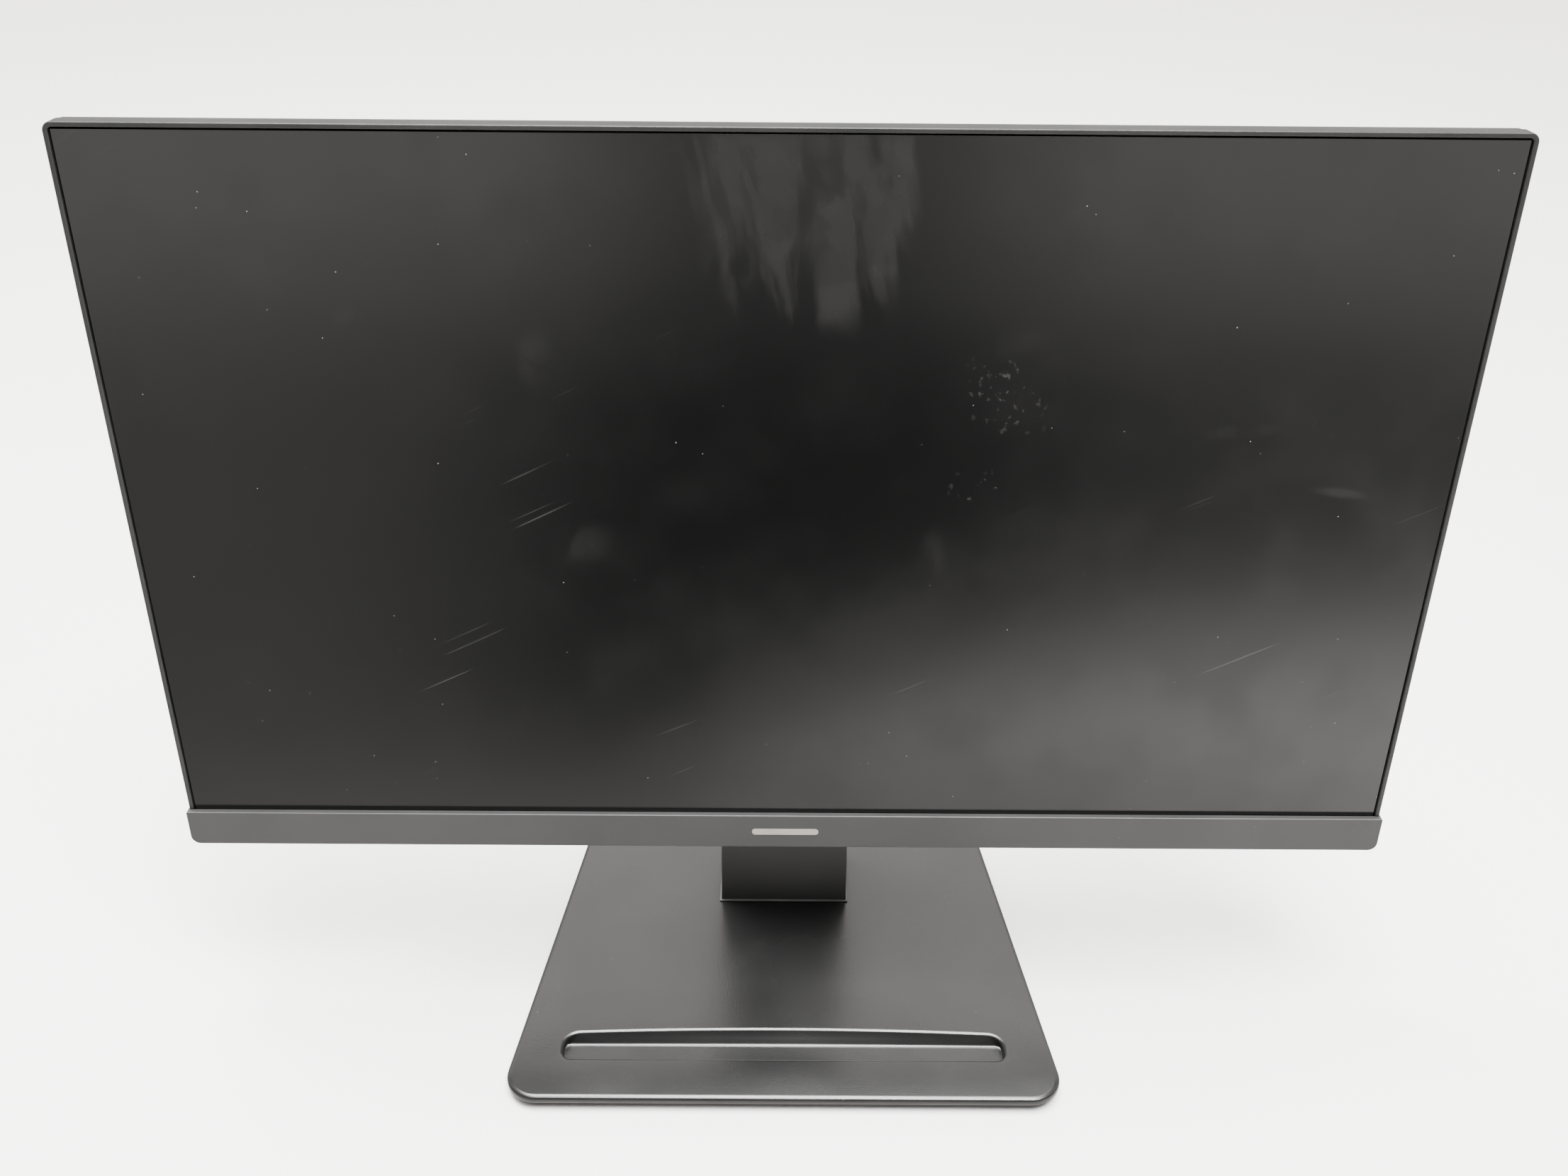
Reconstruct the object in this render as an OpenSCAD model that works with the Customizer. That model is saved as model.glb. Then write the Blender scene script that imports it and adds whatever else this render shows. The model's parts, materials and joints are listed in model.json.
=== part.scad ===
// Desktop monitor: a thin-edged flat screen on a plain neck and a tapered base.
// The screen's head tilts on a friction hinge at the top of the neck.
// Millimetres. X runs to the viewer's right, Y away from the viewer, Z up.
// The origin is on the desk, under the middle of the base.
// "Head space" is the tilted frame of the head: x right, y from the front of the
// lower bezel towards the back, z up along the screen from the bezel's bottom edge.

/* [Head] */
// Width of the lower bezel, the widest part of the head
chin_w = 540; // [534:1:546]
// Height of the lower bezel
chin_h = 17.4; // [16.4:0.2:19]
// Height of the whole head, measured along the screen
head_h = 320.6; // [318:0.2:326]
// Width of the slim frame round the glass
frame_w = 538; // [536:1:539]
// Width of the frame's edge beside the glass
frame_edge = 1.9; // [1.4:0.1:2.2]
// How far the lower bezel stands in front of the frame
chin_proud = 2.3; // [1.6:0.1:2.6]
// Depth of the housing in its thick middle
head_depth = 40; // [40:1:44]
// Depth of the housing at its thin upper part
thin_depth = 16; // [15.6:0.2:17]
// Wall thickness of the rear cover
cover_wall = 2.2; // [2:0.1:2.4]

/* [Stance] */
// Backward tilt of the head as the part stands
tilt = 5; // [0:1:10]
// Height of the lower bezel's front bottom edge above the desk
chin_z = 90; // [86:1:120]
// Front to back place of the lower bezel's front face
chin_y = -32.8; // [-40:0.1:-30]

/* [Neck] */
// Width of the neck at its foot
neck_foot_w = 63.4; // [62:0.1:70]
// Width of the neck at its top
neck_top_w = 60; // [59:0.1:66]
// Front to back thickness of the neck at its top
neck_t = 28; // [28:0.5:28]
// How much further forward the neck's foot reaches than its top
neck_foot_reach = 8.3; // [4:0.1:9]
// Wall thickness of the neck's covers
neck_wall = 2; // [1.6:0.1:2]

/* [Hinge] */
// Diameter of the tilt shaft
shaft_d = 8; // [7:0.5:9]
// Thickness of each ear of the hinge plate
ear_t = 3; // [2.5:0.1:3]
// Distance from the back of the housing to the tilt axis
hinge_reach = 20; // [20:0.5:22]
// Height of the tilt axis and of the wall mount centre in head space
mount_z = 115; // [115:1:120]

/* [Base] */
// Depth of the base from front to back
base_d = 215; // [210:1:225]
// Width of the base at its front, before the corners are rounded
base_front_w = 254; // [250:0.1:270]
// Width of the base at its back, before the corners are rounded
base_back_w = 195.7; // [190:0.1:210]
// Height of the base's top face above the desk
base_h = 8.5; // [8.5:0.1:9.5]
// Radius of the base's corners in plan
base_corner_r = 14; // [10:1:20]
// Length of the slot that holds a phone upright
tray_w = 204; // [180:1:206]
// Depth of the slot below the top of the base
tray_deep = 5.6; // [4.5:0.1:5.6]

/* [Hidden] */
$fn = 64;

// Finishes
charcoal = [0.16, 0.16, 0.165];
dark_grey = [0.24, 0.24, 0.245];
deep_black = [0.05, 0.05, 0.055];
steel_grey = [0.62, 0.63, 0.65];
board_green = [0.05, 0.25, 0.13];
socket_metal = [0.72, 0.72, 0.7];
warm_grey = [0.66, 0.63, 0.58];

// Depths of the head's layers in head space, front to back
cell_y = [3.1, 4.7];
film_y = [4.9, 6.1];
guide_y = [6.3, 8.8];
reflector_y = [8.85, 9.15];
tray_y = [9.3, 10.1];
split_y = 9.8;
bracket_y = [12.2, 13.4];
board_y = [16, 17.6];

// Outline of the glass and of what lies behind it
gap_at_glass = 0.7;
cell_w = frame_w - 2 * (frame_edge + gap_at_glass);
cell_top = head_h - frame_edge - gap_at_glass;
cell_bottom = 12;
stack_w = cell_w - 6.4;
stack_bottom = 15.4;
stack_top = cell_top - 3.3;

// The thick middle of the housing
full_bottom = 58;
full_top = 205;
slope_top = 262;
slope_foot = 14;
full_x = 165;
slope_x = 215;

// Port bay under the thick middle, open downwards and to the back
bay_x = 105;
bay_front = 15;
bay_ceiling = 46;
bay_wall = 2;
socket_y = board_y[1] + 0.1;

// Sockets in the bay's ceiling: place along x, half width and depth of each
dc_socket = [-88, 5, 11];
hdmi = [-66, 7.5, 6];
vga = [60, 15.4, 12.5];
audio = [89, 4, 8];

// Screws that hold the rear cover
screw_x = 235;
screw_zs = [100, 250];

// Wall mount of four M4 holes on a 100 mm square, and the hinge plate's four screws
wall_mount = 100;
plate_hole = [25, 20];

// Menu stick
nav_x = 215;
nav_z = 40;
nav_pivot_y = 13.6;
nav_pin_r = 0.7;
running = 0.05;

// The tilt axis in the part's own frame
hinge_y = chin_y + (head_depth + hinge_reach) * cos(tilt) + mount_z * sin(tilt);
hinge_z = chin_z + mount_z * cos(tilt) - (head_depth + hinge_reach) * sin(tilt);
neck_front_y = hinge_y - neck_t / 2;
neck_upright_z = 150;
shaft_r = shaft_d / 2;
ear_x = 17;
ear_r = 10;
knuckle_x = 14.4;
knuckle_r = 9;
hinge_plate_t = 2.5;
washer_t = 1.5;
washer_x = ear_x + ear_t + 0.05;

// The hand screw under the base and its folding loop
screw_head_z = [2.3, 4.2];
bail_z = 3.25;
bail_pin_r = 0.6;

// Base: heights of its layers, and how far the skirt stands back under the edge
skirt_z = 1.8;
edge_z = 4.8;
skirt_back = 3;
skirt_wall = 2;
cover_top_t = 2;
plate_z = [4.3, base_h - cover_top_t];
tray_floor = base_h - tray_deep;
tray_front_y = -86;
tray_back_y = -68.2;
tray_floor_back_y = -73;
tray_floor_t = 1.2;
tray_back_arc_r = 2070;

// ---------- helpers ----------

// Puts its children, drawn in head space, where the head stands
module in_head() {
  translate([0, chin_y, chin_z]) rotate([-tilt, 0, 0]) children();
}

// An x-z outline made solid from y0 to y1
module slab(y0, y1) {
  translate([0, y1, 0]) rotate([90, 0, 0]) linear_extrude(y1 - y0) children();
}

// A y-z outline made solid from x0 to x1
module bar(x0, x1) {
  translate([x0, 0, 0]) rotate([90, 0, 90]) linear_extrude(x1 - x0) children();
}

// A box given by its lowest and highest corners
module box(low, high) {
  translate(low) cube(high - low);
}

// Rods along each axis, from one end to the other
module rod_x(x0, x1, y, z, r) {
  translate([x0, y, z]) rotate([0, 90, 0]) cylinder(h = x1 - x0, r = r);
}
module rod_y(y0, y1, x, z, r) {
  translate([x, y1, z]) rotate([90, 0, 0]) cylinder(h = y1 - y0, r = r);
}
module rod_z(z0, z1, x, y, r) {
  translate([x, y, z0]) cylinder(h = z1 - z0, r = r);
}

// Corner b between a and c, rounded to a radius: where the arc starts and ends, and its centre
function unit(v) = v / norm(v);
function half_angle(a, b, c) = acos(unit(a - b) * unit(c - b)) / 2;
function arc_ends(a, b, c, r) =
  let (t = r / tan(half_angle(a, b, c)))
  [b + unit(a - b) * t, b + unit(c - b) * t];
function arc_centre(a, b, c, r) =
  b + unit(unit(a - b) + unit(c - b)) * r / sin(half_angle(a, b, c));

// Convex outline with each corner rounded to its own radius
module rounded(points, radii) {
  n = len(points);
  polygon([
    for (i = [0 : n - 1])
      each arc_ends(points[(i + n - 1) % n], points[i], points[(i + 1) % n], radii[i])
  ]);
  for (i = [0 : n - 1])
    translate(arc_centre(points[(i + n - 1) % n], points[i], points[(i + 1) % n], radii[i]))
      circle(r = radii[i]);
}

// Rectangle centred on x = 0 with its lower and upper corners rounded
module rounded_rect(w, z0, z1, r_low, r_high) {
  rounded([[-w / 2, z0], [w / 2, z0], [w / 2, z1], [-w / 2, z1]],
          [r_low, r_low, r_high, r_high]);
}

module at_wall_mount() {
  for (x = [-1, 1], z = [-1, 1])
    translate([x * wall_mount / 2, 0, mount_z + z * wall_mount / 2]) children();
}

module at_plate_holes() {
  for (x = [-1, 1], z = [-1, 1])
    translate([x * plate_hole[0], 0, mount_z + z * plate_hole[1]]) children();
}

module at_cover_screws() {
  for (x = [-screw_x, screw_x], z = screw_zs) translate([x, 0, z]) children();
}

// ---------- front of the head ----------

// Lower bezel: a trough that is open to the back and wraps the panel's bottom edge
module chin_bar() {
  wall = 2;
  top_wall = 1.5;
  color(dark_grey) in_head() difference() {
    slab(0, split_y) rounded_rect(chin_w, 0, chin_h, 4, 0.8);
    difference() {
      box([-chin_w / 2 + wall, wall, wall], [chin_w / 2 - wall, split_y + 1, chin_h + 1]);
      box([-chin_w, 0, chin_h - top_wall], [chin_w, cell_y[0] - 0.1, chin_h + 2]);
    }
    box([nav_x - 2.1, 3.9, -1], [nav_x + 2.1, 6.6, wall + 1]);
  }
}

// Plain mark on the lower bezel
module chin_badge() {
  badge_w = 30;
  badge_h = 3.2;
  color(warm_grey) in_head() slab(-0.15, 0)
    rounded_rect(badge_w, (chin_h - badge_h) / 2, (chin_h + badge_h) / 2, 1.5, 1.5);
}

// Light guide of the power indicator, flush with the underside of the lower bezel
module indicator_lens() {
  color("white") in_head() box([nav_x - 2, 4, 0.1], [nav_x + 2, 6.5, 6]);
}

// Slim frame: left, top and right sides round the glass
module front_frame() {
  inner_w = frame_w - 2 * frame_edge;
  color(charcoal) in_head() difference() {
    slab(chin_proud, split_y) rounded_rect(frame_w, -20, head_h, 3.5, 3.5);
    slab(0, split_y + 1) rounded_rect(inner_w, -40, head_h - frame_edge, 1.6, 1.6);
    box([-chin_w, 0, -41], [chin_w, split_y + 1, chin_h + 0.1]);
  }
}

// Liquid crystal cell: two bonded sheets of glass with their polarisers
module lcd_cell() {
  color(deep_black) in_head()
    box([-cell_w / 2, cell_y[0], cell_bottom], [cell_w / 2, cell_y[1], cell_top]);
}

// One sheet of the optical stack, between two depths
module stack_sheet(depths) {
  in_head() box([-stack_w / 2, depths[0], stack_bottom], [stack_w / 2, depths[1], stack_top]);
}

// Prism and diffuser films
module film_stack() {
  color([0.93, 0.93, 0.9]) stack_sheet(film_y);
}

// Acrylic plate that spreads the light
module light_guide() {
  color([0.8, 0.88, 0.95]) stack_sheet(guide_y);
}

// White reflector behind the light guide
module reflector_sheet() {
  color("white") stack_sheet(reflector_y);
}

// Strip of lamps that shines up into the light guide
module led_bar() {
  leds = 44;
  pitch = stack_w / leds;
  strip_top = 13.8;
  color([0.9, 0.9, 0.8]) in_head() {
    box([-stack_w / 2, guide_y[0], cell_bottom + 0.8], [stack_w / 2, guide_y[1], strip_top]);
    for (i = [0 : leds - 1])
      translate([(i + 0.5) * pitch - stack_w / 2, 0, 0])
        box([-2.5, guide_y[0] + 0.3, strip_top], [2.5, guide_y[1] - 0.3, stack_bottom - 0.2]);
  }
}

// Plastic frame that holds the films and carries the cell
module panel_frame() {
  color([0.12, 0.12, 0.12]) in_head() difference() {
    box([-cell_w / 2 + 0.2, cell_y[1] + 0.1, cell_bottom - 1],
        [cell_w / 2 - 0.2, reflector_y[1] + 0.05, cell_top - 0.3]);
    box([-stack_w / 2 - 0.4, 0, cell_bottom + 0.6],
        [stack_w / 2 + 0.4, tray_y[0] + 1, stack_top + 0.4]);
  }
}

// Pressed steel back of the panel with stiffening ribs and screw posts
module backlight_tray() {
  rib_y = 11.3;
  post_top = 12;
  color(steel_grey) in_head() difference() {
    union() {
      box([-cell_w / 2 + 1.2, tray_y[0], 9], [cell_w / 2 - 1.2, tray_y[1], cell_top - 1.2]);
      for (z = [150, 215, 280])
        box([-200, tray_y[1] - 0.1, z - 4], [200, rib_y, z + 4]);
      at_cover_screws() rod_y(tray_y[1] - 0.1, post_top, 0, 0, 3);
    }
    at_cover_screws() rod_y(tray_y[0] - 1, post_top + 1, 0, 0, 1.5);
  }
}

// Narrow circuit board of the column drivers, behind the panel's lower edge
module source_board() {
  color(board_green) in_head() {
    box([-160, 10.5, 11], [160, 11.5, 24]);
    for (x = [-90, 10, 110]) box([x, 11.5, 17], [x + 14, 12.3, 22.5]);
  }
}

// Film connectors folded round the panel's lower edge
module driver_flexes() {
  film_t = 0.25;
  low = 7.4;
  front = 3.6;
  back = 11.55;
  color([0.75, 0.5, 0.2]) in_head()
    for (i = [-2.5 : 1 : 2.5])
      bar(i * 60 - 14, i * 60 + 14)
        polygon([
          [front, cell_bottom], [front, low], [back + film_t, low], [back + film_t, 16],
          [back, 16], [back, low + film_t], [front + film_t, low + film_t],
          [front + film_t, cell_bottom]
        ]);
}

// ---------- back of the head ----------

// Depth profile from bottom to top, moved inwards by t, as a y-z outline
module side_profile(t, front) {
  polygon([
    [front, 0.6 + t], [15 - t, 0.6 + t], [18 - t, slope_foot], [head_depth - t, full_bottom],
    [head_depth - t, full_top], [thin_depth + 2 - t, slope_top], [thin_depth - t, head_h - 8],
    [thin_depth - 2 - t, head_h - 0.6 - t], [front, head_h - 0.6 - t]
  ]);
}

// Depth profile from side to side, moved inwards by t, as an x-y outline
module plan_profile(t, front) {
  half = [
    [frame_w / 2 - 0.6 - t, front], [frame_w / 2 - 0.6 - t, thin_depth - 2 - t],
    [frame_w / 2 - 7, thin_depth - t], [slope_x, thin_depth + 3 - t],
    [full_x, head_depth - t]
  ];
  polygon(concat(half, [for (i = [4 : -1 : 0]) [-half[i][0], half[i][1]]]));
}

// The housing's volume: the two depth profiles and the front outline together
module housing(t, front) {
  intersection() {
    bar(-frame_w / 2, frame_w / 2) side_profile(t, front);
    translate([0, 0, -1]) linear_extrude(head_h + 2) plan_profile(t, front);
    slab(front, head_depth + 1) rounded_rect(frame_w - 1.2 - 2 * t, 0.6 + t, head_h - 0.6 - t, 3, 3);
  }
}

// Space that the plugs use below the thick middle; grow makes the walls round it
module port_bay(grow) {
  box([-bay_x - grow, bay_front - grow, -5], [bay_x + grow, head_depth + 10, bay_ceiling + grow]);
}

// Rear cover: a moulded shell with vents, port bay, wall mount holes and screw wells
module rear_cover() {
  well_floor = 15.4;
  vents = 36;
  vent_pitch = 8;
  color(charcoal) in_head() difference() {
    union() {
      difference() {
        housing(0, split_y);
        difference() {
          housing(cover_wall, split_y - 1);
          port_bay(bay_wall);
        }
      }
      at_cover_screws() rod_y(12.1, 17, 0, 0, 4.5);
    }
    port_bay(0);
    for (i = [0 : vents - 1])
      translate([(i - (vents - 1) / 2) * vent_pitch, 0, 0])
        box([-1.3, 12, 216], [1.3, head_depth, 250]);
    at_wall_mount() rod_y(30, head_depth + 1, 0, 0, 4.7);
    at_plate_holes() rod_y(30, head_depth + 1, 0, 0, 2.3);
    at_cover_screws() {
      rod_y(10, 20, 0, 0, 1.6);
      rod_y(well_floor, 25, 0, 0, 3.3);
    }
    rod_y(12, 25, nav_x, nav_z, 6);
    box([-nav_x - 3.5, 12, nav_z - 1.5], [-nav_x + 3.5, 25, nav_z + 1.5]);
    ceiling_cutouts();
  }
}

// Holes for the sockets in the port bay's ceiling
module ceiling_cutouts() {
  play = 0.2;
  for (s = [dc_socket, hdmi, vga, audio])
    box([s[0] - s[1] - play, socket_y - play, bay_ceiling - 1],
        [s[0] + s[1] + play, socket_y + s[2] + play, bay_ceiling + bay_wall + 1]);
}

// Steel bracket: carries the board, the wall mount and the hinge plate
module chassis_bracket() {
  color(steel_grey) in_head() difference() {
    union() {
      slab(bracket_y[0], bracket_y[1]) rounded_rect(240, full_bottom, 200, 6, 6);
      at_wall_mount() rod_y(bracket_y[1] - 0.1, head_depth - 0.1, 0, 0, 4.5);
      at_plate_holes() rod_y(bracket_y[1] - 0.1, head_depth - cover_wall - 0.1, 0, 0, 4.2);
      for (x = [-100, 0, 100]) rod_y(bracket_y[1] - 0.1, board_y[0], x, 80, 3);
    }
    at_wall_mount() rod_y(head_depth - 11.5, head_depth + 1, 0, 0, 2);
    at_plate_holes() rod_y(head_depth - 14, head_depth, 0, 0, 2.02);
    slab(0, 20) for (x = [-95, 95]) translate([x, 170]) circle(r = 9);
  }
}

// Main circuit board with its larger components
module main_board() {
  color(board_green) in_head() {
    difference() {
      box([-110, board_y[0], 48.3], [110, board_y[1], 88]);
      for (x = [-50, 50]) rod_y(10, 20, x, mount_z - wall_mount / 2, 6);
    }
    box([-12, board_y[1], 62], [12, board_y[1] + 1.8, 82]);
    box([18, board_y[1], 66], [30, board_y[1] + 1.2, 76]);
    for (x = [-104, -94, -84]) rod_y(board_y[1], board_y[1] + 9, x, 78, 3.2);
    box([-76, board_y[1], 72], [-64, board_y[1] + 6, 84]);
    box([62, board_y[1], 74], [84, board_y[1] + 4, 79]);
  }
}

// Sheet steel lid over the processor
module board_shield() {
  sheet = 0.6;
  color(steel_grey) in_head() difference() {
    box([-36, board_y[1] + 0.05, 56], [36, board_y[1] + 10, 86]);
    box([-36 + sheet, board_y[1] - 1, 56 + sheet], [36 - sheet, board_y[1] + 10 - sheet, 86 - sheet]);
    for (x = [-28 : 8 : 28]) rod_y(20, 30, x, 71, 2);
  }
}

// HDMI socket, mouth downwards
module hdmi_socket() {
  color(socket_metal) in_head() translate([hdmi[0], socket_y, bay_ceiling]) {
    difference() {
      box([-hdmi[1], 0, 0], [hdmi[1], hdmi[2], 12]);
      box([-7.1, 0.5, -1], [7.1, 5.5, 11]);
    }
    box([-5.2, 2.3, 2], [5.2, 3.3, 11.2]);
  }
}

// VGA socket with its two nuts, mouth downwards
module vga_socket() {
  color([0.15, 0.25, 0.6]) in_head() translate([vga[0], socket_y, bay_ceiling]) {
    difference() {
      union() {
        box([-vga[1], 0, 1.6], [vga[1], vga[2], 4]);
        box([-9.5, 1.5, 4], [9.5, 11, 12]);
        linear_extrude(2) polygon([[-8.3, 9.9], [8.3, 9.9], [6.9, 2.4], [-6.9, 2.4]]);
        for (x = [-12.5, 12.5]) rod_z(0, 1.6, x, 6.2, 2.6);
      }
      for (x = [-12.5, 12.5]) rod_z(-1, 9, x, 6.2, 1.4);
      for (row = [-1 : 1], i = [-2 : 2])
        rod_z(-1, 8, i * 2.3 + row * 0.55, 6.2 + row * 2, 0.55);
    }
  }
}

// Headphone socket, a plain bore for a 3.5 mm plug
module audio_jack() {
  color(deep_black) in_head() translate([audio[0], socket_y, bay_ceiling]) difference() {
    union() {
      box([-audio[1], 0, 0.4], [audio[1], audio[2], 14]);
      rod_z(0, 0.5, 0, 4, 3.2);
    }
    rod_z(-1, 12, 0, 4, 1.8);
  }
}

// Power socket, a round well with its centre pin
module dc_jack() {
  color(deep_black) in_head() translate([dc_socket[0], socket_y, bay_ceiling]) {
    difference() {
      box([-dc_socket[1], 0, 0], [dc_socket[1], dc_socket[2], 14]);
      rod_z(-1, 10, 0, 5.5, 3.1);
    }
    rod_z(1, 10.5, 0, 5.5, 0.85);
  }
}

// Flat cable from the panel's back, under the bracket, to the main board
module flat_cable(x0, x1, from_z) {
  strip = 0.5;
  turn_z = 54;
  bar(x0, x1) polygon([
    [12.4, from_z], [12.4 + strip, from_z], [12.4 + strip, turn_z],
    [board_y[0], turn_z], [board_y[0], turn_z + strip], [12.4, turn_z + strip]
  ]);
}

module panel_cable() {
  color("white") in_head() flat_cable(12, 36, 17.5);
}

module backlight_cable() {
  color([0.85, 0.85, 0.3]) in_head() flat_cable(-100, -94, 14);
}

// Ribbon from the menu stick's board to the main board
module nav_cable() {
  color([0.85, 0.85, 0.85]) in_head() {
    box([104, 13.6, 51], [nav_x - 4, 14, 56]);
    box([104, 14, 51], [106, board_y[0], 56]);
  }
}

// ---------- menu stick ----------

module nav_board() {
  color(board_green) in_head() box([nav_x - 14, 10.4, nav_z - 9], [nav_x + 14, 11.4, nav_z + 18]);
}

// Switch housing with bearings for the rocker's two pins
module nav_switch_base() {
  color([0.3, 0.3, 0.32]) in_head() translate([nav_x, 0, nav_z]) difference() {
    box([-6.6, 11.4, -6.6], [6.6, 15.3, 6.6]);
    rod_y(12, 17, 0, 0, 5.2);
    rod_x(-7, 7, nav_pivot_y, 0, nav_pin_r + running);
  }
}

// Inner block: rocks up and down on pins along x
module nav_rocker() {
  color("white") in_head() translate([nav_x, nav_pivot_y, nav_z]) difference() {
    union() {
      box([-2.2, -1, -2.2], [2.2, 1, 2.2]);
      rod_x(-6.3, 6.3, 0, 0, nav_pin_r);
    }
    for (z = [-1, 1]) translate([0, 0, z * 1.7]) rod_z(-0.6, 0.6, 0, 0, nav_pin_r + running);
  }
}

// Forked lever: swings left and right on the rocker, and carries the cap
module nav_lever() {
  color([0.2, 0.2, 0.2]) in_head() translate([nav_x, nav_pivot_y, nav_z]) {
    for (side = [0, 1]) mirror([0, 0, side]) {
      box([-1, -0.8, 2.5], [1, 1.4, 3.7]);
      rod_z(1.25, 2.6, 0, 0, nav_pin_r);
    }
    box([-1.2, 1.3, -3.7], [1.2, 2.3, 3.7]);
    rod_y(2.2, 6.4, 0, 0, 1.5);
  }
}

// Finger cap: slides on the lever when it is pressed
module nav_cap() {
  color(deep_black) in_head() translate([nav_x, 0, nav_z]) difference() {
    union() {
      rod_y(16.6, 17.3, 0, 0, 2.6);
      rod_y(17.2, 21.6, 0, 0, 4.2);
      rod_y(21.5, 22.3, 0, 0, 3.4);
    }
    rod_y(16, 20.7, 0, 0, 1.5 + running);
  }
}

// Steel insert with the slot of a security lock
module lock_plate() {
  y1 = thin_depth + 3 - cover_wall - 0.7;
  color(steel_grey) in_head() difference() {
    box([-nav_x - 9, y1 - 1.5, nav_z - 6], [-nav_x + 9, y1, nav_z + 6]);
    box([-nav_x - 3.5, 10, nav_z - 1.5], [-nav_x + 3.5, 25, nav_z + 1.5]);
  }
}

// Four screws of the rear cover
module cover_screws() {
  color(deep_black) in_head() at_cover_screws() difference() {
    union() {
      rod_y(10.2, 15.5, 0, 0, 1.45);
      rod_y(15.4, 16.8, 0, 0, 2.8);
    }
    box([-1.6, 16.1, -0.35], [1.6, 17, 0.35]);
    box([-0.35, 16.1, -1.6], [0.35, 17, 1.6]);
  }
}

// ---------- tilt hinge ----------

// Steel plate on the back of the housing with two ears that hold the shaft
module hinge_plate() {
  axis_y = head_depth + hinge_reach;
  head_r = 4;
  color([0.1, 0.1, 0.11]) in_head() difference() {
    union() {
      slab(head_depth, head_depth + hinge_plate_t) translate([0, mount_z]) rounded_rect(64, -28, 28, 4, 4);
      for (side = [0, 1]) mirror([side, 0, 0]) {
        box([ear_x, head_depth + hinge_plate_t - 0.1, mount_z - ear_r],
            [ear_x + ear_t, axis_y, mount_z + ear_r]);
        rod_x(ear_x, ear_x + ear_t, axis_y, mount_z, ear_r);
      }
    }
    rod_x(-30, 30, axis_y, mount_z, shaft_r + 0.02);
    at_plate_holes() {
      rod_y(head_depth - 1, head_depth + hinge_plate_t + 1, 0, 0, 2.2);
      translate([0, head_depth + hinge_plate_t + 0.01, 0]) rotate([90, 0, 0])
        cylinder(h = 1.9, r1 = head_r, r2 = 2.2);
    }
  }
}

// Four countersunk screws that hold the hinge plate to the bracket
module hinge_plate_screws() {
  color(steel_grey) in_head() at_plate_holes() difference() {
    union() {
      rod_y(head_depth - 12, head_depth + hinge_plate_t - 1.4, 0, 0, 1.98);
      translate([0, head_depth + hinge_plate_t - 0.1, 0]) rotate([90, 0, 0])
        cylinder(h = 1.7, r1 = 3.8, r2 = 1.98);
    }
    box([-2, head_depth + hinge_plate_t - 0.8, -0.4], [2, head_depth + hinge_plate_t + 1, 0.4]);
    box([-0.4, head_depth + hinge_plate_t - 0.8, -2], [0.4, head_depth + hinge_plate_t + 1, 2]);
  }
}

// Moves its children, drawn round an x axis, to the tilt axis
module at_hinge() {
  translate([0, hinge_y, hinge_z]) rotate([-tilt, 0, 0]) children();
}

// Shaft with a round head at its left end
module hinge_shaft() {
  color(steel_grey) at_hinge() {
    rod_x(-washer_x - washer_t - 0.1, 27, 0, 0, shaft_r);
    rod_x(-washer_x - washer_t - 3.1, -washer_x - washer_t - 0.05, 0, 0, 6.5);
  }
}

// Lock nut at the shaft's right end
module hinge_nut() {
  nut_x = washer_x + washer_t + 0.05;
  color(steel_grey) at_hinge() translate([nut_x, 0, 0]) rotate([0, 90, 0]) difference() {
    cylinder(h = 5, r = 6.9, $fn = 6);
    translate([0, 0, -1]) cylinder(h = 7, r = shaft_r + 0.02);
  }
}

// Friction washers on both faces of each ear
module friction_washers() {
  color([0.55, 0.5, 0.35]) at_hinge() for (side = [0, 1]) mirror([side, 0, 0]) {
    washer(knuckle_x + 0.05, ear_x - 0.02);
    washer(washer_x, washer_x + washer_t);
  }
}

module washer(x0, x1) {
  difference() {
    rod_x(x0, x1, 0, 0, 8.5);
    rod_x(x0 - 1, x1 + 1, 0, 0, shaft_r + 0.05);
  }
}

// ---------- neck ----------

// Steel core: a channel with a foot, a threaded boss and the hinge knuckle
module neck_core() {
  foot = base_h - cover_top_t;
  foot_top = foot + 2.5;
  deck_z = hinge_z - 18.5;
  color([0.2, 0.2, 0.21]) difference() {
    union() {
      box([-24, hinge_y - 11, foot], [24, hinge_y + 11, foot_top]);
      difference() {
        box([-24, hinge_y - 11, foot_top - 0.1], [24, hinge_y + 9, deck_z]);
        box([-22, hinge_y - 9, foot_top], [22, hinge_y + 20, deck_z - 2.5]);
      }
      rod_z(foot_top - 0.1, 24, 0, hinge_y, 7);
      box([-knuckle_x, hinge_y - 4, deck_z - 0.1], [knuckle_x, hinge_y + 4, hinge_z]);
      rod_x(-knuckle_x, knuckle_x, hinge_y, hinge_z, knuckle_r);
    }
    rod_x(-20, 20, hinge_y, hinge_z, shaft_r + running);
    rod_z(0, 26, 0, hinge_y, 3.05);
    for (z = [60, 110]) rod_y(hinge_y - 15, hinge_y, 0, z, 9);
  }
}

// The neck's volume, pulled inwards by t: its front leans back up to the tilt axis's level,
// and its top is rounded over that axis
module neck_volume(t, low) {
  intersection() {
    bar(-neck_foot_w, neck_foot_w) {
      polygon([
        [neck_front_y - neck_foot_reach + t, low], [hinge_y + neck_t / 2 - t, low],
        [hinge_y + neck_t / 2 - t, hinge_z], [neck_front_y + t, hinge_z],
        [neck_front_y + t, neck_upright_z]
      ]);
      translate([hinge_y, hinge_z]) circle(r = neck_t / 2 - t);
    }
    slab(0, 100) polygon([
      [-neck_foot_w / 2 + t, low], [neck_foot_w / 2 - t, low],
      [neck_top_w / 2 - t, hinge_z + neck_t / 2], [-neck_top_w / 2 + t, hinge_z + neck_t / 2]
    ]);
  }
}

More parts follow.
